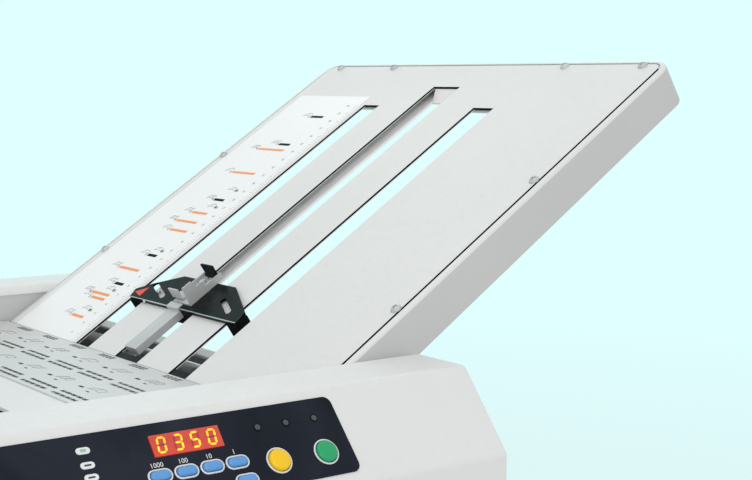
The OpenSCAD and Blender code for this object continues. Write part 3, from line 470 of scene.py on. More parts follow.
def surface(name, tint, effect, second, rough, relief, values, effect_values=None, reach=(0.3, 0.7), dust=0.0):
    """A material whose tone, roughness and relief (distance, strength) follow a shared effect."""
    made, g, takes = blank(name, tint, values)
    make, tone_mask, rough_mask, height = effect
    masks = g.add("ShaderNodeGroup", effect_values, node_tree=make()).outputs
    tone = g.mix(g.spread(masks[tone_mask], 0, 1, *reach), tint, second)
    if "Emission Strength" in values:
        g.feed(takes["Emission Color"], tone)
    if dust:
        tone = g.mix(g.math("MULTIPLY", masks["Dust"], dust), tone, DUST)
    g.feed(takes["Base Color"], tone)
    g.feed(takes["Roughness"], g.spread(masks[rough_mask], *rough))
    if relief:
        g.feed(takes["Normal"], g.bump(masks[height], *relief))
    return made


def enamel(name, tint, rough=0.4, coat=0.0, shine=0.2, dust=0.25):
    return surface(name, tint, COAT, shaded(tint, 0.965), (rough - 0.04, rough + 0.06), (0.00006, 0.35),
                   {"Specular IOR Level": shine, "Coat Weight": coat}, dust=dust)


def metal(name, tint, rough, stretch=(6.0, 500.0, 500.0), lines=0.3, metallic=1.0):
    return surface(name, tint, DRAWN, shaded(tint, 0.82), (rough * 0.75, rough * 1.35), (0.00003, lines),
                   {"Metallic": metallic}, {"Stretch": stretch})


def ground_rubber(name, tint):
    """Roller rubber: ground in lines round the roller."""
    return surface(name, tint, DRAWN, shaded(tint, 1.5), (0.55, 0.8), (0.0001, 0.6),
                   {"Specular IOR Level": 0.3}, {"Stretch": (30.0, 900.0, 30.0)})


def moulded(name, tint, rough, grain=0.25, size=1400.0, worn=0.9, coat=0.0, shine=0.3):
    return surface(name, tint, MOULDED, shaded(tint, worn), (rough - 0.05, rough + 0.08), (0.00008, grain),
                   {"Specular IOR Level": shine, "Coat Weight": coat, "Coat Roughness": 0.08},
                   {"Grain size": size})


def film(name, tint, rough=0.45, shine=0.3):
    return surface(name, tint, MOULDED, shaded(tint, 0.975), (rough - 0.05, rough + 0.07), (0.00002, 0.3),
                   {"Specular IOR Level": shine}, {"Grain size": 2600.0, "Mark size": 9.0})


def glossy_panel(name, tint):
    """The dark overlay, with soft patches of painted sheen in its colour, standing for the reflections of a film
    that isn't quite flat.
    """
    return surface(name, tint, MOULDED, colour("panel_sheen"), (0.24, 0.42), (0.00002, 0.2),
                   {"Specular IOR Level": 0.06, "Coat Weight": 0.03, "Coat Roughness": 0.1},
                   {"Grain size": 3200.0, "Mark size": 14.0}, reach=(0.35, 0.75))


def lit(name, tint, glow, rough=0.35):
    """Coloured plastic that glows: a light behind it for the lit segments and the green lens, a painted glow for the
    display window and the unlit segments.
    """
    return surface(name, tint, MOULDED, shaded(tint, 0.72), (rough - 0.05, rough + 0.05), None,
                   {"Emission Strength": glow, "Coat Weight": 0.5}, {"Grain size": 900.0, "Mark size": 160.0})


def circuit_board(name, tint):
    """Solder mask over copper tracks."""
    made, g, takes = blank(name, tint, {"Coat Weight": 0.3})
    bricks = {"Vector": g.here(), "Scale": 90.0, "Mortar Size": 0.06}
    tracks = g.add("ShaderNodeTexBrick", bricks).outputs["Fac"]
    marks = g.add("ShaderNodeGroup", node_tree=moulded_grain()).outputs["Marks"]
    g.feed(takes["Base Color"], g.mix(tracks, tint, shaded(tint, 2.2)))
    g.feed(takes["Roughness"], g.spread(marks, 0.3, 0.45))
    g.feed(takes["Normal"], g.bump(tracks, 0.00005, 0.5))
    return made


FINISHES = {
    "white_paint": (enamel, {"rough": 0.34}),
    "grey_paint": (enamel, {}),
    "wall_paint": (enamel, {}),
    "back_paint": (enamel, {"rough": 0.45, "dust": 0.05}),
    "dark_paint": (enamel, {}),
    "black_paint": (enamel, {"rough": 0.3, "coat": 0.04, "shine": 0.05, "dust": 0.03}),
    "zinc_steel": (metal, {"rough": 0.5, "stretch": (30.0, 240.0, 240.0), "metallic": 0.5}),
    "bright_steel": (metal, {"rough": 0.14, "lines": 0.25}),
    "brushed_steel": (metal, {"rough": 0.45, "metallic": 0.25}),
    "black_plastic": (moulded, {"rough": 0.42, "shine": 0.08}),
    "grey_plastic": (moulded, {"rough": 0.4}),
    "white_plastic": (moulded, {"rough": 0.3, "grain": 0.12}),
    "black_rubber": (ground_rubber, {}),
    "brown_rubber": (moulded, {"rough": 0.7, "grain": 0.8, "size": 700.0, "worn": 0.8}),
    "panel_film": (glossy_panel, {}),
    # The display window glows though no lamp is behind it: a painted glow.
    "red_window": (lit, {"glow": 0.35, "rough": 0.25}),
    "green_lens": (lit, {"glow": 0.1, "rough": 0.2}),
    "green_board": (circuit_board, {}),
    "white_film": (film, {"rough": 0.3}),
    "grey_film": (film, {"rough": 0.3}),
    "blue_plastic": (moulded, {"rough": 0.22, "grain": 0.05, "worn": 0.93, "coat": 0.15}),
    "yellow_plastic": (moulded, {"rough": 0.24, "grain": 0.05, "worn": 0.95, "coat": 0.15}),
    "green_plastic": (moulded, {"rough": 0.24, "grain": 0.05, "coat": 0.15}),
    "black_ink": (film, {"shine": 0.02}),
    "grey_ink": (film, {}),
    "orange_ink": (film, {"rough": 0.4}),
    "red_ink": (film, {"rough": 0.3}),
    "white_ink": (film, {"rough": 0.35}),
    "lit_segment": (lit, {"glow": 0.9}),
    # The unlit segments glow faintly: a painted glow.
    "dim_segment": (lit, {"glow": 0.25}),
    "lamp_lens": (moulded, {"rough": 0.18, "grain": 0.02, "worn": 0.85, "coat": 0.8}),
}


@cache
def material(name):
    make, settings = FINISHES[name]
    return make(name, colour(name), **settings)


# ---------- Geometry trees for what repeats ----------

def repeating(name, *inputs):
    """A geometry tree that takes points and a finish beside its own inputs."""
    return new_tree(name, "GeometryNodeTree", [("Points", SHAPE), *inputs, ("Finish", FINISH)], [("Shape", SHAPE)])


def planted(g, given, out, shape):
    """Ends a tree: the shape on each point, made real, with its finish."""
    placed = g.first("GeometryNodeInstanceOnPoints", {"Points": given["Points"], "Instance": shape})
    real = g.first("GeometryNodeRealizeInstances", {"Geometry": placed})
    g.feed(out["Shape"], g.first("GeometryNodeSetMaterial", {"Geometry": real, "Material": given["Finish"]}))
    return g.tree


@cache
def pan_head_screws():
    """Pan-head screws with a crossed recess, one on each point."""
    g, given, out = repeating("Pan-head screws", ("Head width", NUMBER, 0.0066, 0.001, 0.02),
                              ("Head height", NUMBER, 0.0024, 0.0005, 0.01),
                              ("Recess width", NUMBER, 0.0007, 0.0001, 0.003))
    tall, half, turn = given["Head height"], g.math("DIVIDE", given["Head width"], 2.0), 0.35
    ball = g.first("GeometryNodeMeshUVSphere", {"Segments": 28, "Rings": 16, "Radius": 1.0})
    head = g.moved(ball, Scale=g.corner(half, half, tall))
    under = g.moved(g.cube((0.02, 0.02, 0.01)), Translation=(0.0, 0.0, -0.0051))
    bar = g.cube(g.corner(g.math("MULTIPLY", half, 1.15), given["Recess width"], tall))
    recess = [g.moved(bar, Translation=g.corner(0.0, 0.0, tall), Rotation=(0.0, 0.0, a))
              for a in (turn, turn + pi / 2)]
    for cuts in ([under], recess):
        cutter = g.add("GeometryNodeMeshBoolean", operation="DIFFERENCE")
        g.feed(cutter.inputs[0], head)
        for shape in cuts:
            g.feed(cutter.inputs[1], shape)
        head = cutter.outputs[0]
    return planted(g, given, out, head)


@cache
def flat_bars():
    """A small flat bar on each point: ticks, strokes of print, and black bars of painted shade where louvres open.
    """
    g, given, out = repeating("Printed bars", ("Bar size", VECTOR, (0.001, 0.0003, 0.0001)))
    return planted(g, given, out, g.cube(given["Bar size"]))


@cache
def square_rings():
    """Square-section rings on each point, round the local Z axis."""
    g, given, out = repeating("Rings", ("Radius", NUMBER, 0.016, 0.001, 0.2),
                              ("Ring width", NUMBER, 0.002, 0.0001, 0.02),
                              ("Ring depth", NUMBER, 0.001, 0.0001, 0.02), ("Sides", WHOLE, 48, 8, 128))
    path = g.first("GeometryNodeCurvePrimitiveCircle", {"Resolution": given["Sides"], "Radius": given["Radius"]})
    section = g.first("GeometryNodeCurvePrimitiveQuadrilateral",
                      {"Width": given["Ring depth"], "Height": given["Ring width"]})
    return planted(g, given, out, g.first("GeometryNodeCurveToMesh", {"Curve": path, "Profile Curve": section}))


@cache
def lengthwise_ribs():
    """Lengthwise ribs round a wheel, on each point."""
    g, given, out = repeating("Wheel ribs", ("Radius", NUMBER, 0.02, 0.001, 0.2), ("Ribs", WHOLE, 48, 3, 200),
                              ("Rib size", VECTOR, (0.0008, 0.0012, 0.02)))
    ring = g.first("GeometryNodeMeshCircle", {"Vertices": given["Ribs"], "Radius": given["Radius"]})
    outward = g.first("FunctionNodeAlignEulerToVector", {"Vector": g.first("GeometryNodeInputPosition")},
                      axis="X", pivot_axis="Z")
    ribs = {"Points": ring, "Instance": g.cube(given["Rib size"]), "Rotation": outward}
    wheel = g.first("GeometryNodeRealizeInstances", {"Geometry": g.first("GeometryNodeInstanceOnPoints", ribs)})
    return planted(g, given, out, wheel)


def grown(name, make_tree, points, values, finish, place, body="machine"):
    """Runs a geometry tree on points in millimetres and keeps its result as a plain mesh."""
    tree = make_tree()
    seed_mesh = bpy.data.meshes.new(name)
    seed_mesh.from_pydata([in_metres(p) for p in points], [], [])
    seed = linked(name + "_seed", seed_mesh)
    growth = seed.modifiers.new("Growth", "NODES")
    growth.node_group = tree
    values = {**{key: in_metres(value) for key, value in values.items()}, "Finish": material(finish)}
    for item in tree.interface.items_tree:
        if item.item_type == "SOCKET" and item.in_out == "INPUT" and item.name in values:
            growth[item.identifier] = values[item.name]
    mesh = evaluated(seed)
    seed.modifiers.clear()
    bpy.data.objects.remove(seed)
    place = place.copy()
    place.translation *= MM
    mesh.transform(place)
    place_piece(name, mesh, finish, body)


def printed(name, points, size, levels, finish, place, body="machine"):
    """Flat bars of one size at (x, y) points, from the first level to the second."""
    low, high = levels
    points = [(x, y, (low + high) / 2) for x, y in points]
    grown(name, flat_bars, points, {"Bar size": (*size, high - low)}, finish, place, body)


# ---------- What a user may change ----------

def tint(name, description, red, green, blue):
    return FloatVectorProperty(name=name, description=description, subtype="COLOR", size=3, min=0, max=1,
                               default=srgb(red, green, blue))


class FolderColours(bpy.types.PropertyGroup):
    """Colours of the machine's finishes"""
    white_paint: tint("Enamel", "Sprayed enamel of the panels", 228, 230, 229)
    grey_paint: tint("Grey enamel", "Enamel of the base pan and end panels", 196, 198, 198)
    # The back sheet's enamel is whiter than the panels' as painted light, lifting the shade inside the fold plate's
    # gap.
    back_paint: tint("Back sheet enamel", "Paint of the fold plate's back sheet", 252, 252, 252)
    # The wall enamel is darker than the panels' enamel: the side frames' own paint, and painted shade on the fold
    # plate's walls.
    wall_paint: tint("Wall enamel", "Enamel of the side frames and the fold plate's walls", 204, 205, 205)
    dark_paint: tint("Motor paint", "Paint of the motor", 62, 66, 72)
    black_paint: tint("Stop black", "Black lacquer of the paper stop", 10, 11, 13)
    zinc_steel: tint("Zinc", "Zinc plate on inner sheet metal", 178, 181, 184)
    bright_steel: tint("Bright steel", "Polished steel", 205, 206, 208)
    brushed_steel: tint("Brushed steel", "Carriage and bar of the paper stop, plate screws", 206, 206, 206)
    black_plastic: tint("Black plastic", "Knobs, plugs and guides", 17, 17, 19)
    grey_plastic: tint("Grey plastic", "Fixed grip tab", 196, 197, 198)
    white_plastic: tint("White plastic", "Key rims and oval lights", 232, 234, 236)
    black_rubber: tint("Black rubber", "Rollers and feet", 34, 34, 36)
    brown_rubber: tint("Brown rubber", "Separator pad", 124, 84, 58)
    panel_film: tint("Panel", "Dark film of the control panel", 22, 24, 33)
    # The panel sheen is painted light: lighter patches in the film's colour that stand for reflections.
    panel_sheen: tint("Panel sheen", "Light patches on the panel film", 46, 49, 60)
    # The display window's colour also glows, as a painted glow.
    red_window: tint("Display", "Red window of the display", 202, 52, 28)
    green_lens: tint("Green lens", "Small oval lens", 150, 205, 170)
    green_board: tint("Board", "Circuit board", 22, 74, 44)
    white_film: tint("White film", "Scale label", 247, 249, 249)
    grey_film: tint("Grey film", "Fold table label", 205, 207, 206)
    blue_plastic: tint("Key blue", "Number keys", 98, 160, 224)
    yellow_plastic: tint("Yellow button", "Left round button", 252, 204, 22)
    green_plastic: tint("Green button", "Right round button", 42, 168, 108)
    # Black ink colours the print, and also the fold plate's cut sheet edges as painted shade.
    black_ink: tint("Black ink", "Print on the labels", 26, 26, 28)
    grey_ink: tint("Grey ink", "Fine print on the labels", 120, 122, 124)
    orange_ink: tint("Orange ink", "Bars on the scale", 246, 158, 92)
    red_ink: tint("Red ink", "Pointer on the paper stop", 235, 58, 26)
    white_ink: tint("White ink", "Numbers on the panel", 226, 228, 230)
    lit_segment: tint("Lit segment", "Glowing parts of the digits", 255, 196, 24)
    # The unlit segments' colour also glows faintly, as a painted glow.
    dim_segment: tint("Dim segment", "Unlit parts of the digits", 150, 34, 30)
    lamp_lens: tint("Lamp lens", "Small lamps on the panel", 62, 60, 64)
    backdrop: tint("Backdrop", "What stands behind the machine", 224, 255, 255)
    floor: tint("Floor", "Plain floor under the machine", 228, 230, 229)


def length(name, description, default, low, high):
    return FloatProperty(name=name, description=description, default=default * MM, min=low * MM, max=high * MM,
                         subtype="DISTANCE", unit="LENGTH")


class FolderSizes(bpy.types.PropertyGroup):
    """Sizes of the machine's smaller features"""
    edge: length("Sheet edge radius", "Rounding of sheet metal edges", 0.5, 0.1, 1.0)
    housing_edge: length("Housing edge radius", "Rounding of the housings' end edges", 0.9, 0.2, 1.5)
    rim_width: length("Plate rim", "Width of the rim round the fold plate's sheet", 4.4, 2.5, 6)
    rim_radius: length("Rim radius", "Rounding of the fold plate's rim", 2.4, 0.5, 2.6)
    screw_head: length("Screw head", "Width of the fold plate's screws", 6.6, 4, 7)
    print_height: length("Print height", "How far print stands above its label", 0.06, 0.02, 0.2)
    digit_height: length("Digit height", "Height of the display's digits", 8.0, 5, 9)
    wheel_ribs: IntProperty(name="Wheel ribs", description="Ribs round each feed wheel", default=54, min=12, max=90)
    motor_fins: IntProperty(name="Motor fins", description="Cooling fins on the motor", default=11, min=3, max=16)


def sizes(name):
    """A size from the sidebar, in millimetres."""
    return getattr(bpy.context.scene.folder_sizes, name) / MM


def counts(name):
    return getattr(bpy.context.scene.folder_sizes, name)


LABEL = 0.3   # height of a printed label's face
SUNK = 0.05   # how deep the foot of print stands in its label


def print_levels(face=LABEL):
    return face - SUNK, face + sizes("print_height")


class MakePiece:
    """Shared settings of the operators."""
    bl_options = {"REGISTER"}

    def execute(self, context):
        self.make()
        return {"FINISHED"}


# ---------- Body ----------

class FOLDER_OT_housings(MakePiece, bpy.types.Operator):
    """Side housings, end panels, base pan and feet"""
    bl_idname = "folder.housings"
    bl_label = "Housings"

    def make(self):
        ends, sheet = sizes("housing_edge"), sizes("edge")
        worked(steps=3, housing_far=ends, housing_near=ends)
        worked(end_panels=sheet, base_pan=sheet)
        worked(steps=3, rubber_feet=1.0)


class FOLDER_OT_frames(MakePiece, bpy.types.Operator):
    """Side frames and tie bars"""
    bl_idname = "folder.frames"
    bl_label = "Side frames"

    def make(self):
        worked("wall_paint", frame_far=sizes("edge"), frame_near=sizes("edge"))
        worked(tie_bars=0.5)


# ---------- Upper fold plate ----------

PLATE_HALF = 179.3
PLATE_HEAD = 57.8
PLATE_TAIL = 326.0
PLATE_CORNER = 12.0
TUB_TAIL = 318.0
TUB_DEPTH = 26.7
SHEET = 1.5
SLOT_LEN = 290.0
# A slot's place across the plate, its width, and how far it runs up past the plate's origin
SLOT_ROWS = [(63.9, 17.1, 0.0), (4.0, 27.6, 25.1), (-58.7, 19.1, 0.0)]
SCREWS = [(PLATE_HEAD - 7, y) for y in (-160, -91.5, 91.5, 160)] + \
    [(v, side * (PLATE_HALF - 7.5)) for v in (-72, -193) for side in (-1, 1)]
SCREW_HOLE, SCREW_SHANK, SCREW_HEAD_HEIGHT = 1.7, 1.6, 2.4
SLOT_WALL, SHEET_EDGE = 0.45, 0.5  # how near an edge a face of the sheet is one of its cut sides


def plate_outline(inset, tail):
    """The plate's outline along and across it, anticlockwise from its near lower corner."""
    half, head, r = PLATE_HALF - inset, PLATE_HEAD - inset, max(0.5, PLATE_CORNER - inset)
    return rounded([(-tail, -half), (head, -half), (head, half), (-tail, half)], [0, r, r, 0], 8)


class FOLDER_OT_fold_plate(MakePiece, bpy.types.Operator):
    """Sheet, rim, back sheet, slot plugs and screws of the upper fold plate"""
    bl_idname = "folder.fold_plate"
    bl_label = "Upper fold plate"

    def make(self):
        rim = sizes("rim_width")
        self.sheet(rim)
        self.tub(rim)
        # The back sheet takes the whitened enamel: painted light on a surface that lies in shade between the sheets.
        worked("back_paint", upper_plate_back=0.3)
        worked(slot_end_stops=0.4)
        grown("plate_screw_heads", pan_head_screws, [(v, y, 0) for v, y in SCREWS],
              {"Head width": sizes("screw_head"), "Head height": SCREW_HEAD_HEIGHT}, "brushed_steel", PLATE)
        shanks = Work(PLATE)
        for at in SCREWS:
            shanks.stack(tiers(((SCREW_SHANK, -9.5), (SCREW_SHANK, 0.3)), at, steps=6))
        shanks.piece("plate_screw_shanks", "bright_steel", stands_for="plate_screws")

    def sheet(self, rim):
        """The pierced front sheet, with the cut sides of its slots and its outer edges black: painted shade of the
        gaps beside them.
        """
        sheet = Work(PLATE)
        holes = [block(-SLOT_LEN, rise, y - width / 2, y + width / 2) for y, width, rise in SLOT_ROWS]
        holes += [shifted(circle(2 * SCREW_HOLE, 6), at) for at in SCREWS]
        sheet.pierced(plate_outline(rim, PLATE_TAIL), holes, -SHEET, 0)
        for face in sheet.bm.faces:
            c = face.calc_center_median()
            slot = any(abs(c.x - rise) < SLOT_WALL or (abs(c.y - y - width / 2) < SLOT_WALL and c.z > -1.0)
                       for y, width, rise in SLOT_ROWS)
            outer = abs(c.y) > PLATE_HALF - rim - SHEET_EDGE or c.x > PLATE_HEAD - rim - SHEET_EDGE
            # The cut sides picked here take black ink's colour as painted shade, standing for the shadow in the gaps
            # at the sheet's edges.
            if 0.05 - SHEET < c.z < -0.01 and (slot or outer):
                face.material_index = 1
        sheet.piece("plate_top_sheet", "white_paint black_ink", stands_for="upper_plate_sheet")

    def tub(self, rim):
        """Rim, walls and inner ledge, each drawn round the plate's three closed sides."""
        r, wall, gap = sizes("rim_radius"), 2.2, 1.0
        arc = [(0.2 + r - r * sin(radians(a)), -r + r * cos(radians(a))) for a in (0, 22.5, 45, 67.5, 90)]
        section = [(rim - gap, -SHEET), (rim - gap, -0.5), (rim - gap - 0.15, -0.15), (rim - gap - 0.5, 0)] + arc
        section += [(0.2, -TUB_DEPTH + 0.6), (0.4, -TUB_DEPTH + 0.15), (0.8, -TUB_DEPTH), (wall - 0.6, -TUB_DEPTH),
                    (wall - 0.15, -TUB_DEPTH + 0.2), (wall, -TUB_DEPTH + 0.6), (wall, -SHEET)]
        tub = Work(PLATE)
        self.swept(tub, section)
        self.swept(tub, [(1.2, -1.6), (1.2, -7.9), (14, -7.9), (14, -1.6)])
        # Faces below the rim take the darker wall enamel: painted shade on the tub's walls.
        for face in tub.bm.faces:
            if face.calc_center_median().z < -r:
                face.material_index = 1
        tub.piece("plate_tub", "white_paint wall_paint", stands_for="upper_plate_frame", slot="white_paint")

    def swept(self, work, section):
        """A section of (inset, height) points drawn along the open outline and capped."""
        rows = [work.row(plate_outline(inset, TUB_TAIL), n) for inset, n in section]
        work.walls(rows + rows[:1], closed=False)
        for end in (0, -1):
            work.bm.faces.new([row[end] for row in rows])


# ---------- Scale label ----------

# Bars of the scale: distance along the plate, first and last distance across it
BLACK_BARS = [(-17.4, 104.3, 120.0), (-54.0, 103.4, 117.8), (-124.0, 100.5, 113.8), (-190.0, 99.4, 111.6),
              (-222.0, 97.6, 109.4)]
ORANGE_BARS = [(-61.3, 102.6, 135.9), (-91.3, 102.4, 132.8), (-140.5, 101.1, 121.7), (-151.2, 100.3, 128.4),
               (-161.6, 99.1, 122.8), (-206.7, 99.2, 127.2), (-234.3, 98.6, 124.0), (-238.9, 98.2, 117.3),
               (-257.9, 97.9, 114.7)]
SIGN_AT = (-112.0, -132.5, -184.5, -229.0, -250.5)
# The ruler's lower end, length and place across the plate, and its figures' count and place
RULER_START, RULER_LENGTH, RULER_Y = -1.9, 286, 79.0
FIGURES, FIGURES_Y = 29, 90.3


def fold_sign(work, x, y, size, panels, levels, finish=0, width=0.25):
    """A small drawing of a sheet with its folds, in plain lines, seen from the machine's front."""
    step, rise = size / panels, size * 0.34
    lean, sag = size * 0.22, rise * 0.35

    def row(a0, b0):
        return [(x + (i % 2) * sag + b0, y - (i * step - size / 2 + a0)) for i in range(panels + 1)]

    low, high = row(0, 0), row(lean, rise)
    for p, q in [*zip(low, low[1:]), *zip(high, high[1:]), *zip(low, high)]:
        work.line(p, q, width, *levels, finish)


class FOLDER_OT_scale_label(MakePiece, bpy.types.Operator):
    """White label with the fold scale"""
    bl_idname = "folder.scale_label"
    bl_label = "Scale label"

    def make(self):
        worked(scale_label=0.1)
        levels = print_levels()
        bars, signs = Work(PLATE), Work(PLATE)
        for finish, half, rows in ((0, 1.3, BLACK_BARS), (1, 1.2, ORANGE_BARS)):
            for v, y0, y1 in rows:
                bars.prism(block(v - half, v + half, y0, y1), *levels, finish)
        bars.piece("scale_bars", "black_ink orange_ink")
        for i, (v, y0, y1) in enumerate(BLACK_BARS + ORANGE_BARS):
            panels = 2 + i % 3
            fold_sign(signs, v + 0.6, y1 + 7.5, 8.5, panels, levels)
            signs.figures(str(panels), 2.6, (v, y1 + 2.4), *levels, -90, 1)
        for v in SIGN_AT:
            fold_sign(signs, v, 107.5, 8.0, 2, levels)
            signs.prism(block(v - 1.0, v + 1.2, 99.4, 101.4), *levels, 1)
            signs.line((v - 1.2, 97.6), (v + 1.4, 98.6), 0.5, *levels, 1)
        for k in range(FIGURES):
            signs.figures(str(30 - k), 2.1, (RULER_START - 10 * k, FIGURES_Y), *levels, -90)
        signs.piece("scale_signs", "grey_ink black_ink")
        for name, step, long in (("scale_ticks_long", 10, 3.4), ("scale_ticks_short", 2, 1.6)):
            rows = [(RULER_START - step * k, RULER_Y + long / 2) for k in range(RULER_LENGTH // step + 1)
                    if step == 10 or k % 5]
            printed(name, rows, (0.22, long), levels, "grey_ink", PLATE)


# ---------- Paper stop ----------

class FOLDER_OT_paper_stop(MakePiece, bpy.types.Operator):
    """Sliding paper stop with its carriage, grip and fingers"""
    bl_idname = "folder.paper_stop"
    bl_label = "Paper stop"

    def make(self):
        worked(stop_plate=0.3, stop_fingers=0.3, stop_grip_tab=0.25, release_tab=0.3)
        worked("brushed_steel", stop_tail_bar=0.35, stop_carriage=0.25)
        mark, edge_highlight = Work(STOP), Work(STOP)
        mark.prism([(2.3, 58.7), (11.4, 59.3), (5.0, 69.1)], 2.9, 3.06)
        mark.piece("stop_pointer_mark", "red_ink", "stop")
        # A bright steel strip on the stop's front edge: a painted highlight along that black edge.
        edge_highlight.prism(block(-0.12, 0.5, -62.4, 67.9), 2.6, 3.1, soft=0.2)
        edge_highlight.piece("stop_front_edge", "bright_steel", "stop")
        pin = Work(STOP @ Matrix.Translation((0, 50, 1.6)) @ Matrix.Rotation(radians(-90), 4, "Y"))
        pin.stack(tiers(((1.3, -0.4), (1.3, 0.3), (1.05, 0.7), (0.6, 0.8))))
        pin.piece("stop_front_pin", "bright_steel", "stop")
        screw = Work(STOP @ Matrix.Translation((10.4, 47.2, 0)))
        screw.stack(tiers(((1.6, 0.4), (1.6, 2.2), (1.3, 2.5), (0.7, 2.5), (0.6, 1.9))))
        screw.piece("stop_slot_screw", "bright_steel", "stop")


# ---------- Cover and its fold table ----------

class FOLDER_OT_cover(MakePiece, bpy.types.Operator):
    """Top cover and hinge pins"""
    bl_idname = "folder.cover"
    bl_label = "Top cover"

    def make(self):
        worked(top_cover=sizes("edge"), fold_table_label=0.1, cover_hinge_pins=0.3)


COLUMN = 40.6
COLUMNS = 8
FIRST_COLUMN = 148.5
# Distances of the rows along the cover
SIGN_ROWS = (48.8, 13.6)
TEXT_ROWS = (35.6, 30.2, 0.6, -4.8)
HEAD_ROW = 65.6
BORDERS = (-10.2, 70.0)
HEAD_LETTERS = 9


class FOLDER_OT_fold_table(MakePiece, bpy.types.Operator):
    """Printed rows of fold signs and upright strokes on the cover"""
    bl_idname = "folder.fold_table"
    bl_label = "Fold table print"

    def make(self):
        levels = print_levels()
        body = body_of("fold_table_label")
        signs, borders = Work(COVER), Work(COVER)
        heads, letters = [], []
        for c in range(COLUMNS):
            y = FIRST_COLUMN - c * COLUMN
            for r, x in enumerate(SIGN_ROWS):
                signs.prism(block(x - 0.9, x + 0.9, y - 2.6, y + 2.6), *levels)
                fold_sign(signs, x + 0.5, y - 13.0, 13.0, 2 + (c + r) % 3, levels, 1, 0.35)
                signs.prism(block(x - 3.6, x - 2.6, y - 16.0, y - 12.5), *levels)
            heads += [(HEAD_ROW, y - 1 - k * 2.15) for k in range(HEAD_LETTERS)]
            for r, x in enumerate(TEXT_ROWS):
                letters += [(x, y - 3 - k * 0.98) for k in range(36 - 3 * ((c + r) % 3))
                            if (k + 2 * c + 3 * r) % 7]
        signs.piece("fold_table_signs", "black_ink grey_ink", body)
        caps = [(x + 1.75 * (1 if k % 2 else -1), y - 0.9) for k, (x, y) in enumerate(heads)
                if k % HEAD_LETTERS != HEAD_LETTERS - 1]
        rungs = [(x + 0.95 * (k % 3 - 1), y - 0.4) for k, (x, y) in enumerate(letters)]
        for name, points, size in (("heads", heads, (4.2, 0.8)), ("head_caps", caps, (0.7, 1.6)),
                                   ("letters", letters, (2.3, 0.5)), ("letter_rungs", rungs, (0.5, 0.8))):
            printed("fold_table_" + name, points, size, levels, "black_ink", COVER, body)
        for x in BORDERS:
            borders.line((x, -176), (x, 176), 0.35, *levels)
        borders.piece("fold_table_border", "grey_ink", body)


# ---------- Control panel ----------

KEYS = {"number_key_1000": (-41.3, -30.5), "number_key_100": (-28.4, -30.5), "number_key_10": (-15.5, -30.5),
        "number_key_1": (-2.6, -30.5), "clear_key": (-1.1, -39.8)}
BUTTONS = {"yellow_button": (18.4, -33.3), "green_button": (44.5, -33.3)}
# How far outside a cap its outline is, and the height there
RIM = ((0.3, 0.55), (0.3, 0.85), (0.5, 1.08), (0.85, 1.1), (1.05, 0.95), (1.15, 0.55))
KEY_CROWN = ((0.9, -2.9), (0.9, -2.1), (0, -2.1), (0, 1.2), (-0.12, 1.6), (-0.4, 1.98), (-0.8, 2.24), (-1.3, 2.42),
             (-1.9, 2.5))
BUTTON_CROWN = ((0.9, -2.9), (0.9, -2.1), (0, -2.1), (0, 1.5), (-0.12, 1.95), (-0.5, 2.35), (-1.1, 2.6), (-2.1, 2.8),
                (-3.6, 2.95), (-5.0, 3.0))
# Caps, their size, the steps round an end, their stem's radius and their crown
CAPS = [(KEYS, (9.8, 4.4), 8, 1.5, KEY_CROWN), (BUTTONS, (10.8, 10.8), 16, 2.0, BUTTON_CROWN)]
KEY_NUMBER_Y = -25.4
LAMPS = [(14.0, -15.5), (29.4, -15.5), (45.3, -15.5)]
LAMP = ((2, -3), (2, -2), (1.5, -2), (1.5, 0.6), (1.4, 0.85), (1.15, 0.95), (0.6, 1.0))
LAMP_COLLAR = ((1.75, 0.55), (1.75, 0.75), (1.95, 0.85), (2.15, 0.75), (2.2, 0.55))
OVALS = [(-71.9, -13.1), (-71.9, -20.0), (-71.9, -25.7)]
OVAL_SIZE = (6.6, 3.2)
OVAL = ((0.5, -3), (0.5, -2), (0, -2), (0, 0.7), (-0.15, 0.85), (-0.45, 0.88))
WINDOW_AT, WINDOW_WIDTH, WINDOW_FACE = (-23.3, -16.5), 35.0, 1.1
OVERLAY = 0.6
# A digit's width, the distance to the next one, the width of its bars, its slant and the gap at a bar's end
DIGIT_WIDTH, DIGIT_PITCH, DIGIT_BAR, DIGIT_SLANT, DIGIT_GAP = 4.5, 8.4, 0.95, 0.12, 0.22
# Lit segments of each digit: top, upper right, lower right, bottom, lower left, upper left, middle
SEGMENTS = {"0": "1111110", "3": "1111001", "5": "1011011"}
READING = "0350"


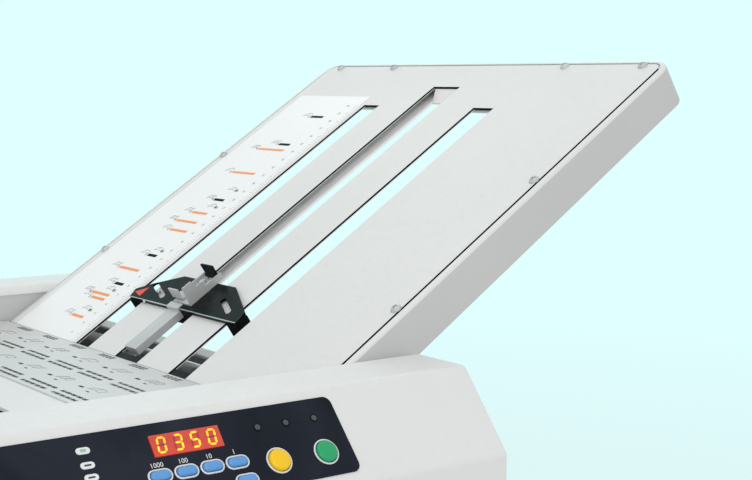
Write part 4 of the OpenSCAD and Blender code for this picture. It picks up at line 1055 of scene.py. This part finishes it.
class FOLDER_OT_control_panel(MakePiece, bpy.types.Operator):
    """Dark overlay, display, lamps, key rims and key numbers"""
    bl_idname = "folder.control_panel"
    bl_label = "Control panel"

    def make(self):
        worked(control_overlay=0.2, display_window=0.3, control_board=0.2)
        self.digits()
        self.lamps()
        rims, numbers = Work(FACE), Work(FACE)
        for caps, size, steps, *_ in CAPS:
            for at in caps.values():
                rims.stack(tiers(RIM, at, size, steps), ring=True)
        rims.piece("key_rims", "white_plastic", stands_for="button_bezels")
        for node, (x, y) in KEYS.items():
            if node.startswith("number"):
                numbers.figures(node.split("_")[-1], 2.3, (x, KEY_NUMBER_Y), *print_levels(OVERLAY))
        numbers.piece("key_numbers", "white_ink")

    def digits(self):
        half, tall, bar = DIGIT_WIDTH / 2 - DIGIT_BAR / 2, sizes("digit_height") / 2 - DIGIT_BAR / 2, DIGIT_BAR / 2
        corners = [(-half, tall), (half, tall), (half, 0), (half, -tall), (-half, -tall), (-half, 0)]
        ends = [*zip(corners, corners[1:] + corners[:1]), (corners[5], corners[2])]
        face = Work(FACE)
        for place, digit in enumerate(READING):
            at = (WINDOW_AT[0] - WINDOW_WIDTH / 2 + 4.9 + place * DIGIT_PITCH, WINDOW_AT[1])
            for lit_up, (p, q) in zip(SEGMENTS[digit], ends):
                p, q = (Vector((a + b * DIGIT_SLANT, b)) for a, b in (p, q))
                d = (q - p).normalized()
                n = Vector((-d.y, d.x)) * bar
                p, q = p + d * DIGIT_GAP, q - d * DIGIT_GAP
                shape = [p, p + d * bar - n, q - d * bar - n, q, q - d * bar + n, p + d * bar + n]
                rise, finish = (0.08, 0) if lit_up == "1" else (0.03, 1)
                face.prism(shifted(shape, at), WINDOW_FACE - SUNK, WINDOW_FACE + rise, finish)
        face.piece("display_digits", "lit_segment dim_segment")

    def lamps(self):
        lens, collars = Work(FACE), Work(FACE)
        for at in LAMPS:
            lens.stack(tiers(LAMP, at))
            collars.stack(tiers(LAMP_COLLAR, at), ring=True)
        for i, at in enumerate(OVALS):
            lens.stack(tiers(OVAL, at, OVAL_SIZE), 2)
            mark = pill(3.4, 0.9) if i else pill(3.0, 1.5)
            lens.prism(shifted(mark, at), 0.85, 0.9, 0 if i else 1)
        lens.piece("panel_lenses", "lamp_lens green_lens white_plastic", stands_for="indicator_lenses")
        collars.piece("lamp_collars", "black_plastic")


class FOLDER_OT_keys(MakePiece, bpy.types.Operator):
    """Number keys and the two round buttons"""
    bl_idname = "folder.keys"
    bl_label = "Keys and buttons"

    def make(self):
        for caps, size, steps, stem, crown in CAPS:
            for node, at in caps.items():
                cap = Work(FACE)
                cap.stack(tiers(((stem, -8.0), (stem, -2.9)), at, steps=steps) + tiers(crown, at, size, steps))
                cap.piece(node + "_cap", SLOTS[node], body_of(node), stands_for=node, smooth=50)


class FOLDER_OT_electrics(MakePiece, bpy.types.Operator):
    """Power supply, power inlet and power switch"""
    bl_idname = "folder.electrics"
    bl_label = "Electrics"

    def make(self):
        worked(power_supply=0.6, power_inlet=0.4, power_switch=0.5)
        marks = Work(Matrix.Translation((147.7, 222, 100)) @ Matrix.Rotation(radians(90), 4, "Z")
                     @ Matrix.Rotation(radians(90), 4, "X"))
        marks.line((0, 3.6), (0, 6.0), 0.7, 2.55, 2.75)
        marks.piece("switch_on_mark", "white_ink", body_of("power_switch"))
        # Black bars where the supply's louvres are: painted shade of their openings.
        louvre_shade = [(-200 + 8 * i, y) for i in range(11) for y in (-125, -85)]
        printed("supply_louvres", louvre_shade, (2.4, 28), (51.7, 52.3), "black_plastic", UPRIGHT)


# ---------- Rollers and drive ----------

def axis_of(node):
    """X and Z of a turning node's axis, in millimetres, from its joint."""
    body = body_of(node)
    for joint in frame["record"]["behaviour"]["joints"]:
        if joint["child"] == body:
            return joint["pos_m"][0] / MM, joint["pos_m"][2] / MM
    raise ValueError(f"{node} has no joint")


class FOLDER_OT_rollers(MakePiece, bpy.types.Operator):
    """Fold rollers with their bands, and the bearings"""
    bl_idname = "folder.rollers"
    bl_label = "Fold rollers"

    def make(self):
        for k in range(1, 5):
            node = f"fold_roller_{k}"
            worked(**{node: 0.25})
            grown(node + "_bands", square_rings, [(0, 0, -164 + 8 * i) for i in range(42)],
                  {"Radius": 15.75, "Ring width": 3.2, "Ring depth": 0.3, "Sides": 48},
                  "black_rubber", along_y(*axis_of(node)), body_of(node))
        worked(roller_bearings=0.4)


class FOLDER_OT_drive(MakePiece, bpy.types.Operator):
    """Motor, its pulley and the belts"""
    bl_idname = "folder.drive"
    bl_label = "Drive"

    def make(self):
        worked(steps=3, motor=1.2)
        worked(motor_pulley=0.4, drive_belts=0.3)
        grown("motor_fins", square_rings, [(0, 0, 92 + 5.2 * i) for i in range(counts("motor_fins"))],
              {"Radius": 41.9, "Ring width": 1.6, "Ring depth": 1.6, "Sides": 72},
              "dark_paint", along_y(*axis_of("motor_pulley")))


# ---------- Feed and delivery ----------

class FOLDER_OT_feed(MakePiece, bpy.types.Operator):
    """Feed table, extension, side guides, feed wheels and separator pad"""
    bl_idname = "folder.feed"
    bl_label = "Feed"

    def make(self):
        worked(feed_table=0.5, table_extension=0.4, side_guide_far=0.5, side_guide_near=0.5, separator_pad=0.5,
               feed_shaft=0.4, feed_wheels=0.8)
        grown("feed_wheel_ribs", lengthwise_ribs, [(0, 0, -23), (0, 0, 23)],
              {"Radius": 22.75, "Ribs": counts("wheel_ribs"), "Rib size": (0.8, 1.1, 28)},
              "black_rubber", along_y(*axis_of("feed_wheels")), body_of("feed_wheels"))


class FOLDER_OT_delivery(MakePiece, bpy.types.Operator):
    """Lower fold plate, delivery guide, exit rollers, tray and stops"""
    bl_idname = "folder.delivery"
    bl_label = "Delivery"

    def make(self):
        worked(lower_plate=0.4, lower_stop=0.6, delivery_guide=0.4, exit_roller=0.5, exit_idler=0.5,
               delivery_tray=0.5, delivery_stop=0.5)


# ---------- Stage ----------

CAMERA_AT = (-0.3329, -0.7753, 0.4945)
CAMERA_YAW, CAMERA_PITCH, CAMERA_ROLL = 0.6537, 0.1086, 0.00606
FOCAL_PIXELS = 1434.0
PHOTO_WIDTH = 752.0
# Area lamps: place in metres, size and power
LAMP_STANDS = [("top_lamp", (-0.3, 0.2, 2.6), 2.2, 8.0), ("front_lamp", (-1.6, -2.4, 1.5), 1.6, 23.0),
               ("back_lamp", (1.6, 2.0, 1.8), 1.6, 5.0)]
LAMPS_AIM = (0, 0, 0.3)
FLOOR_WIDTH = 14000


class FOLDER_OT_stage(MakePiece, bpy.types.Operator):
    """Floor, backdrop, lamps and camera"""
    bl_idname = "folder.stage"
    bl_label = "Stage"

    def make(self):
        self.camera()
        self.world()
        self.floor()
        for name, at, size, power in LAMP_STANDS:
            lamp = bpy.data.lights.new(name, "AREA")
            lamp.size, lamp.energy = size, power
            holder = linked(name, lamp)
            holder.location = at
            holder.rotation_euler = (Vector(LAMPS_AIM) - Vector(at)).to_track_quat("-Z", "Y").to_euler()
        bpy.context.scene.view_settings.view_transform = "Standard"

    def camera(self):
        data = bpy.data.cameras.new("photo_camera")
        data.sensor_fit, data.sensor_width = "HORIZONTAL", 36.0
        data.lens = FOCAL_PIXELS * data.sensor_width / PHOTO_WIDTH
        data.clip_end = 50
        camera = linked("photo_camera", data)
        y, p, r = CAMERA_YAW, CAMERA_PITCH, CAMERA_ROLL
        right = Vector((cos(y), -sin(y), 0))
        ahead = Vector((sin(y) * cos(p), cos(y) * cos(p), -sin(p)))
        above = right.cross(ahead)
        side, top = cos(r) * right + sin(r) * above, -sin(r) * right + cos(r) * above
        turn = Matrix((side, top, -ahead)).transposed().to_4x4()
        camera.matrix_world = Matrix.Translation(CAMERA_AT) @ turn
        bpy.context.scene.camera = camera

    def seen(self, g):
        """1 where a surface is looked at directly, in a mirror or through glass."""
        path = g.add("ShaderNodeLightPath").outputs
        both = g.math("MAXIMUM", path["Is Camera Ray"], path["Is Glossy Ray"])
        return g.math("MAXIMUM", both, path["Is Transmission Ray"])

    def world(self):
        world = bpy.data.worlds.new("studio")
        bpy.context.scene.world = world
        g = cleared(world)
        light = g.first("ShaderNodeBackground", {"Color": (1.0, 0.99, 0.985, 1.0), "Strength": 0.71})
        view = g.first("ShaderNodeBackground", {"Color": colour("backdrop"), "Strength": 1.0})
        both = g.first("ShaderNodeMixShader", {0: self.seen(g), 1: light, 2: view})
        g.add("ShaderNodeOutputWorld", {"Surface": both})

    def floor(self):
        made = bpy.data.materials.new("studio_floor")
        g = cleared(made)
        real = g.first("ShaderNodeBsdfDiffuse", {"Color": colour("floor")})
        view = g.first("ShaderNodeEmission", {"Color": colour("backdrop"), "Strength": 1.0})
        far = g.add("ShaderNodeVectorMath", {0: g.here()}, operation="LENGTH").outputs["Value"]
        part = g.math("MULTIPLY", self.seen(g), g.spread(far, 0.72, 1.0, 0.7, 2.2))
        g.add("ShaderNodeOutputMaterial", {"Surface": g.first("ShaderNodeMixShader", {0: part, 1: real, 2: view})})
        floor = Work()
        r = FLOOR_WIDTH / 2
        floor.stack(tiers(((r, -30), (r, -0.5), (r - 5, 0)), steps=32))
        mesh = floor.mesh("floor")
        mesh.materials.append(made)
        stage = linked("floor", mesh)


# ---------- Add-on ----------

PIECES = (FOLDER_OT_stage, FOLDER_OT_housings, FOLDER_OT_frames, FOLDER_OT_fold_plate, FOLDER_OT_scale_label,
          FOLDER_OT_paper_stop, FOLDER_OT_cover, FOLDER_OT_fold_table, FOLDER_OT_control_panel, FOLDER_OT_keys,
          FOLDER_OT_electrics, FOLDER_OT_rollers, FOLDER_OT_drive, FOLDER_OT_feed, FOLDER_OT_delivery)


class FOLDER_PT_pieces(bpy.types.Panel):
    """Lists the machine's pieces, sizes and colours"""
    bl_idname = "FOLDER_PT_pieces"
    bl_label = "Paper folder"
    bl_space_type = "VIEW_3D"
    bl_region_type = "UI"
    bl_category = "Paper folder"

    def draw(self, context):
        for piece in PIECES:
            self.layout.operator(piece.bl_idname)
        for group in (context.scene.folder_sizes, context.scene.folder_colours):
            box = self.layout.box()
            for name in group.bl_rna.properties.keys():
                if name not in ("rna_type", "name"):
                    box.prop(group, name)


def register():
    for made in (FolderColours, FolderSizes, *PIECES, FOLDER_PT_pieces):
        bpy.utils.register_class(made)
    bpy.types.Scene.folder_colours = PointerProperty(type=FolderColours)
    bpy.types.Scene.folder_sizes = PointerProperty(type=FolderSizes)


def unregister():
    del bpy.types.Scene.folder_sizes
    del bpy.types.Scene.folder_colours
    for made in reversed((FolderColours, FolderSizes, *PIECES, FOLDER_PT_pieces)):
        bpy.utils.unregister_class(made)


def main():
    register()
    for piece in PIECES:
        group, name = piece.bl_idname.split(".")
        getattr(getattr(bpy.ops, group), name)()


if __name__ == "__main__":
    main()
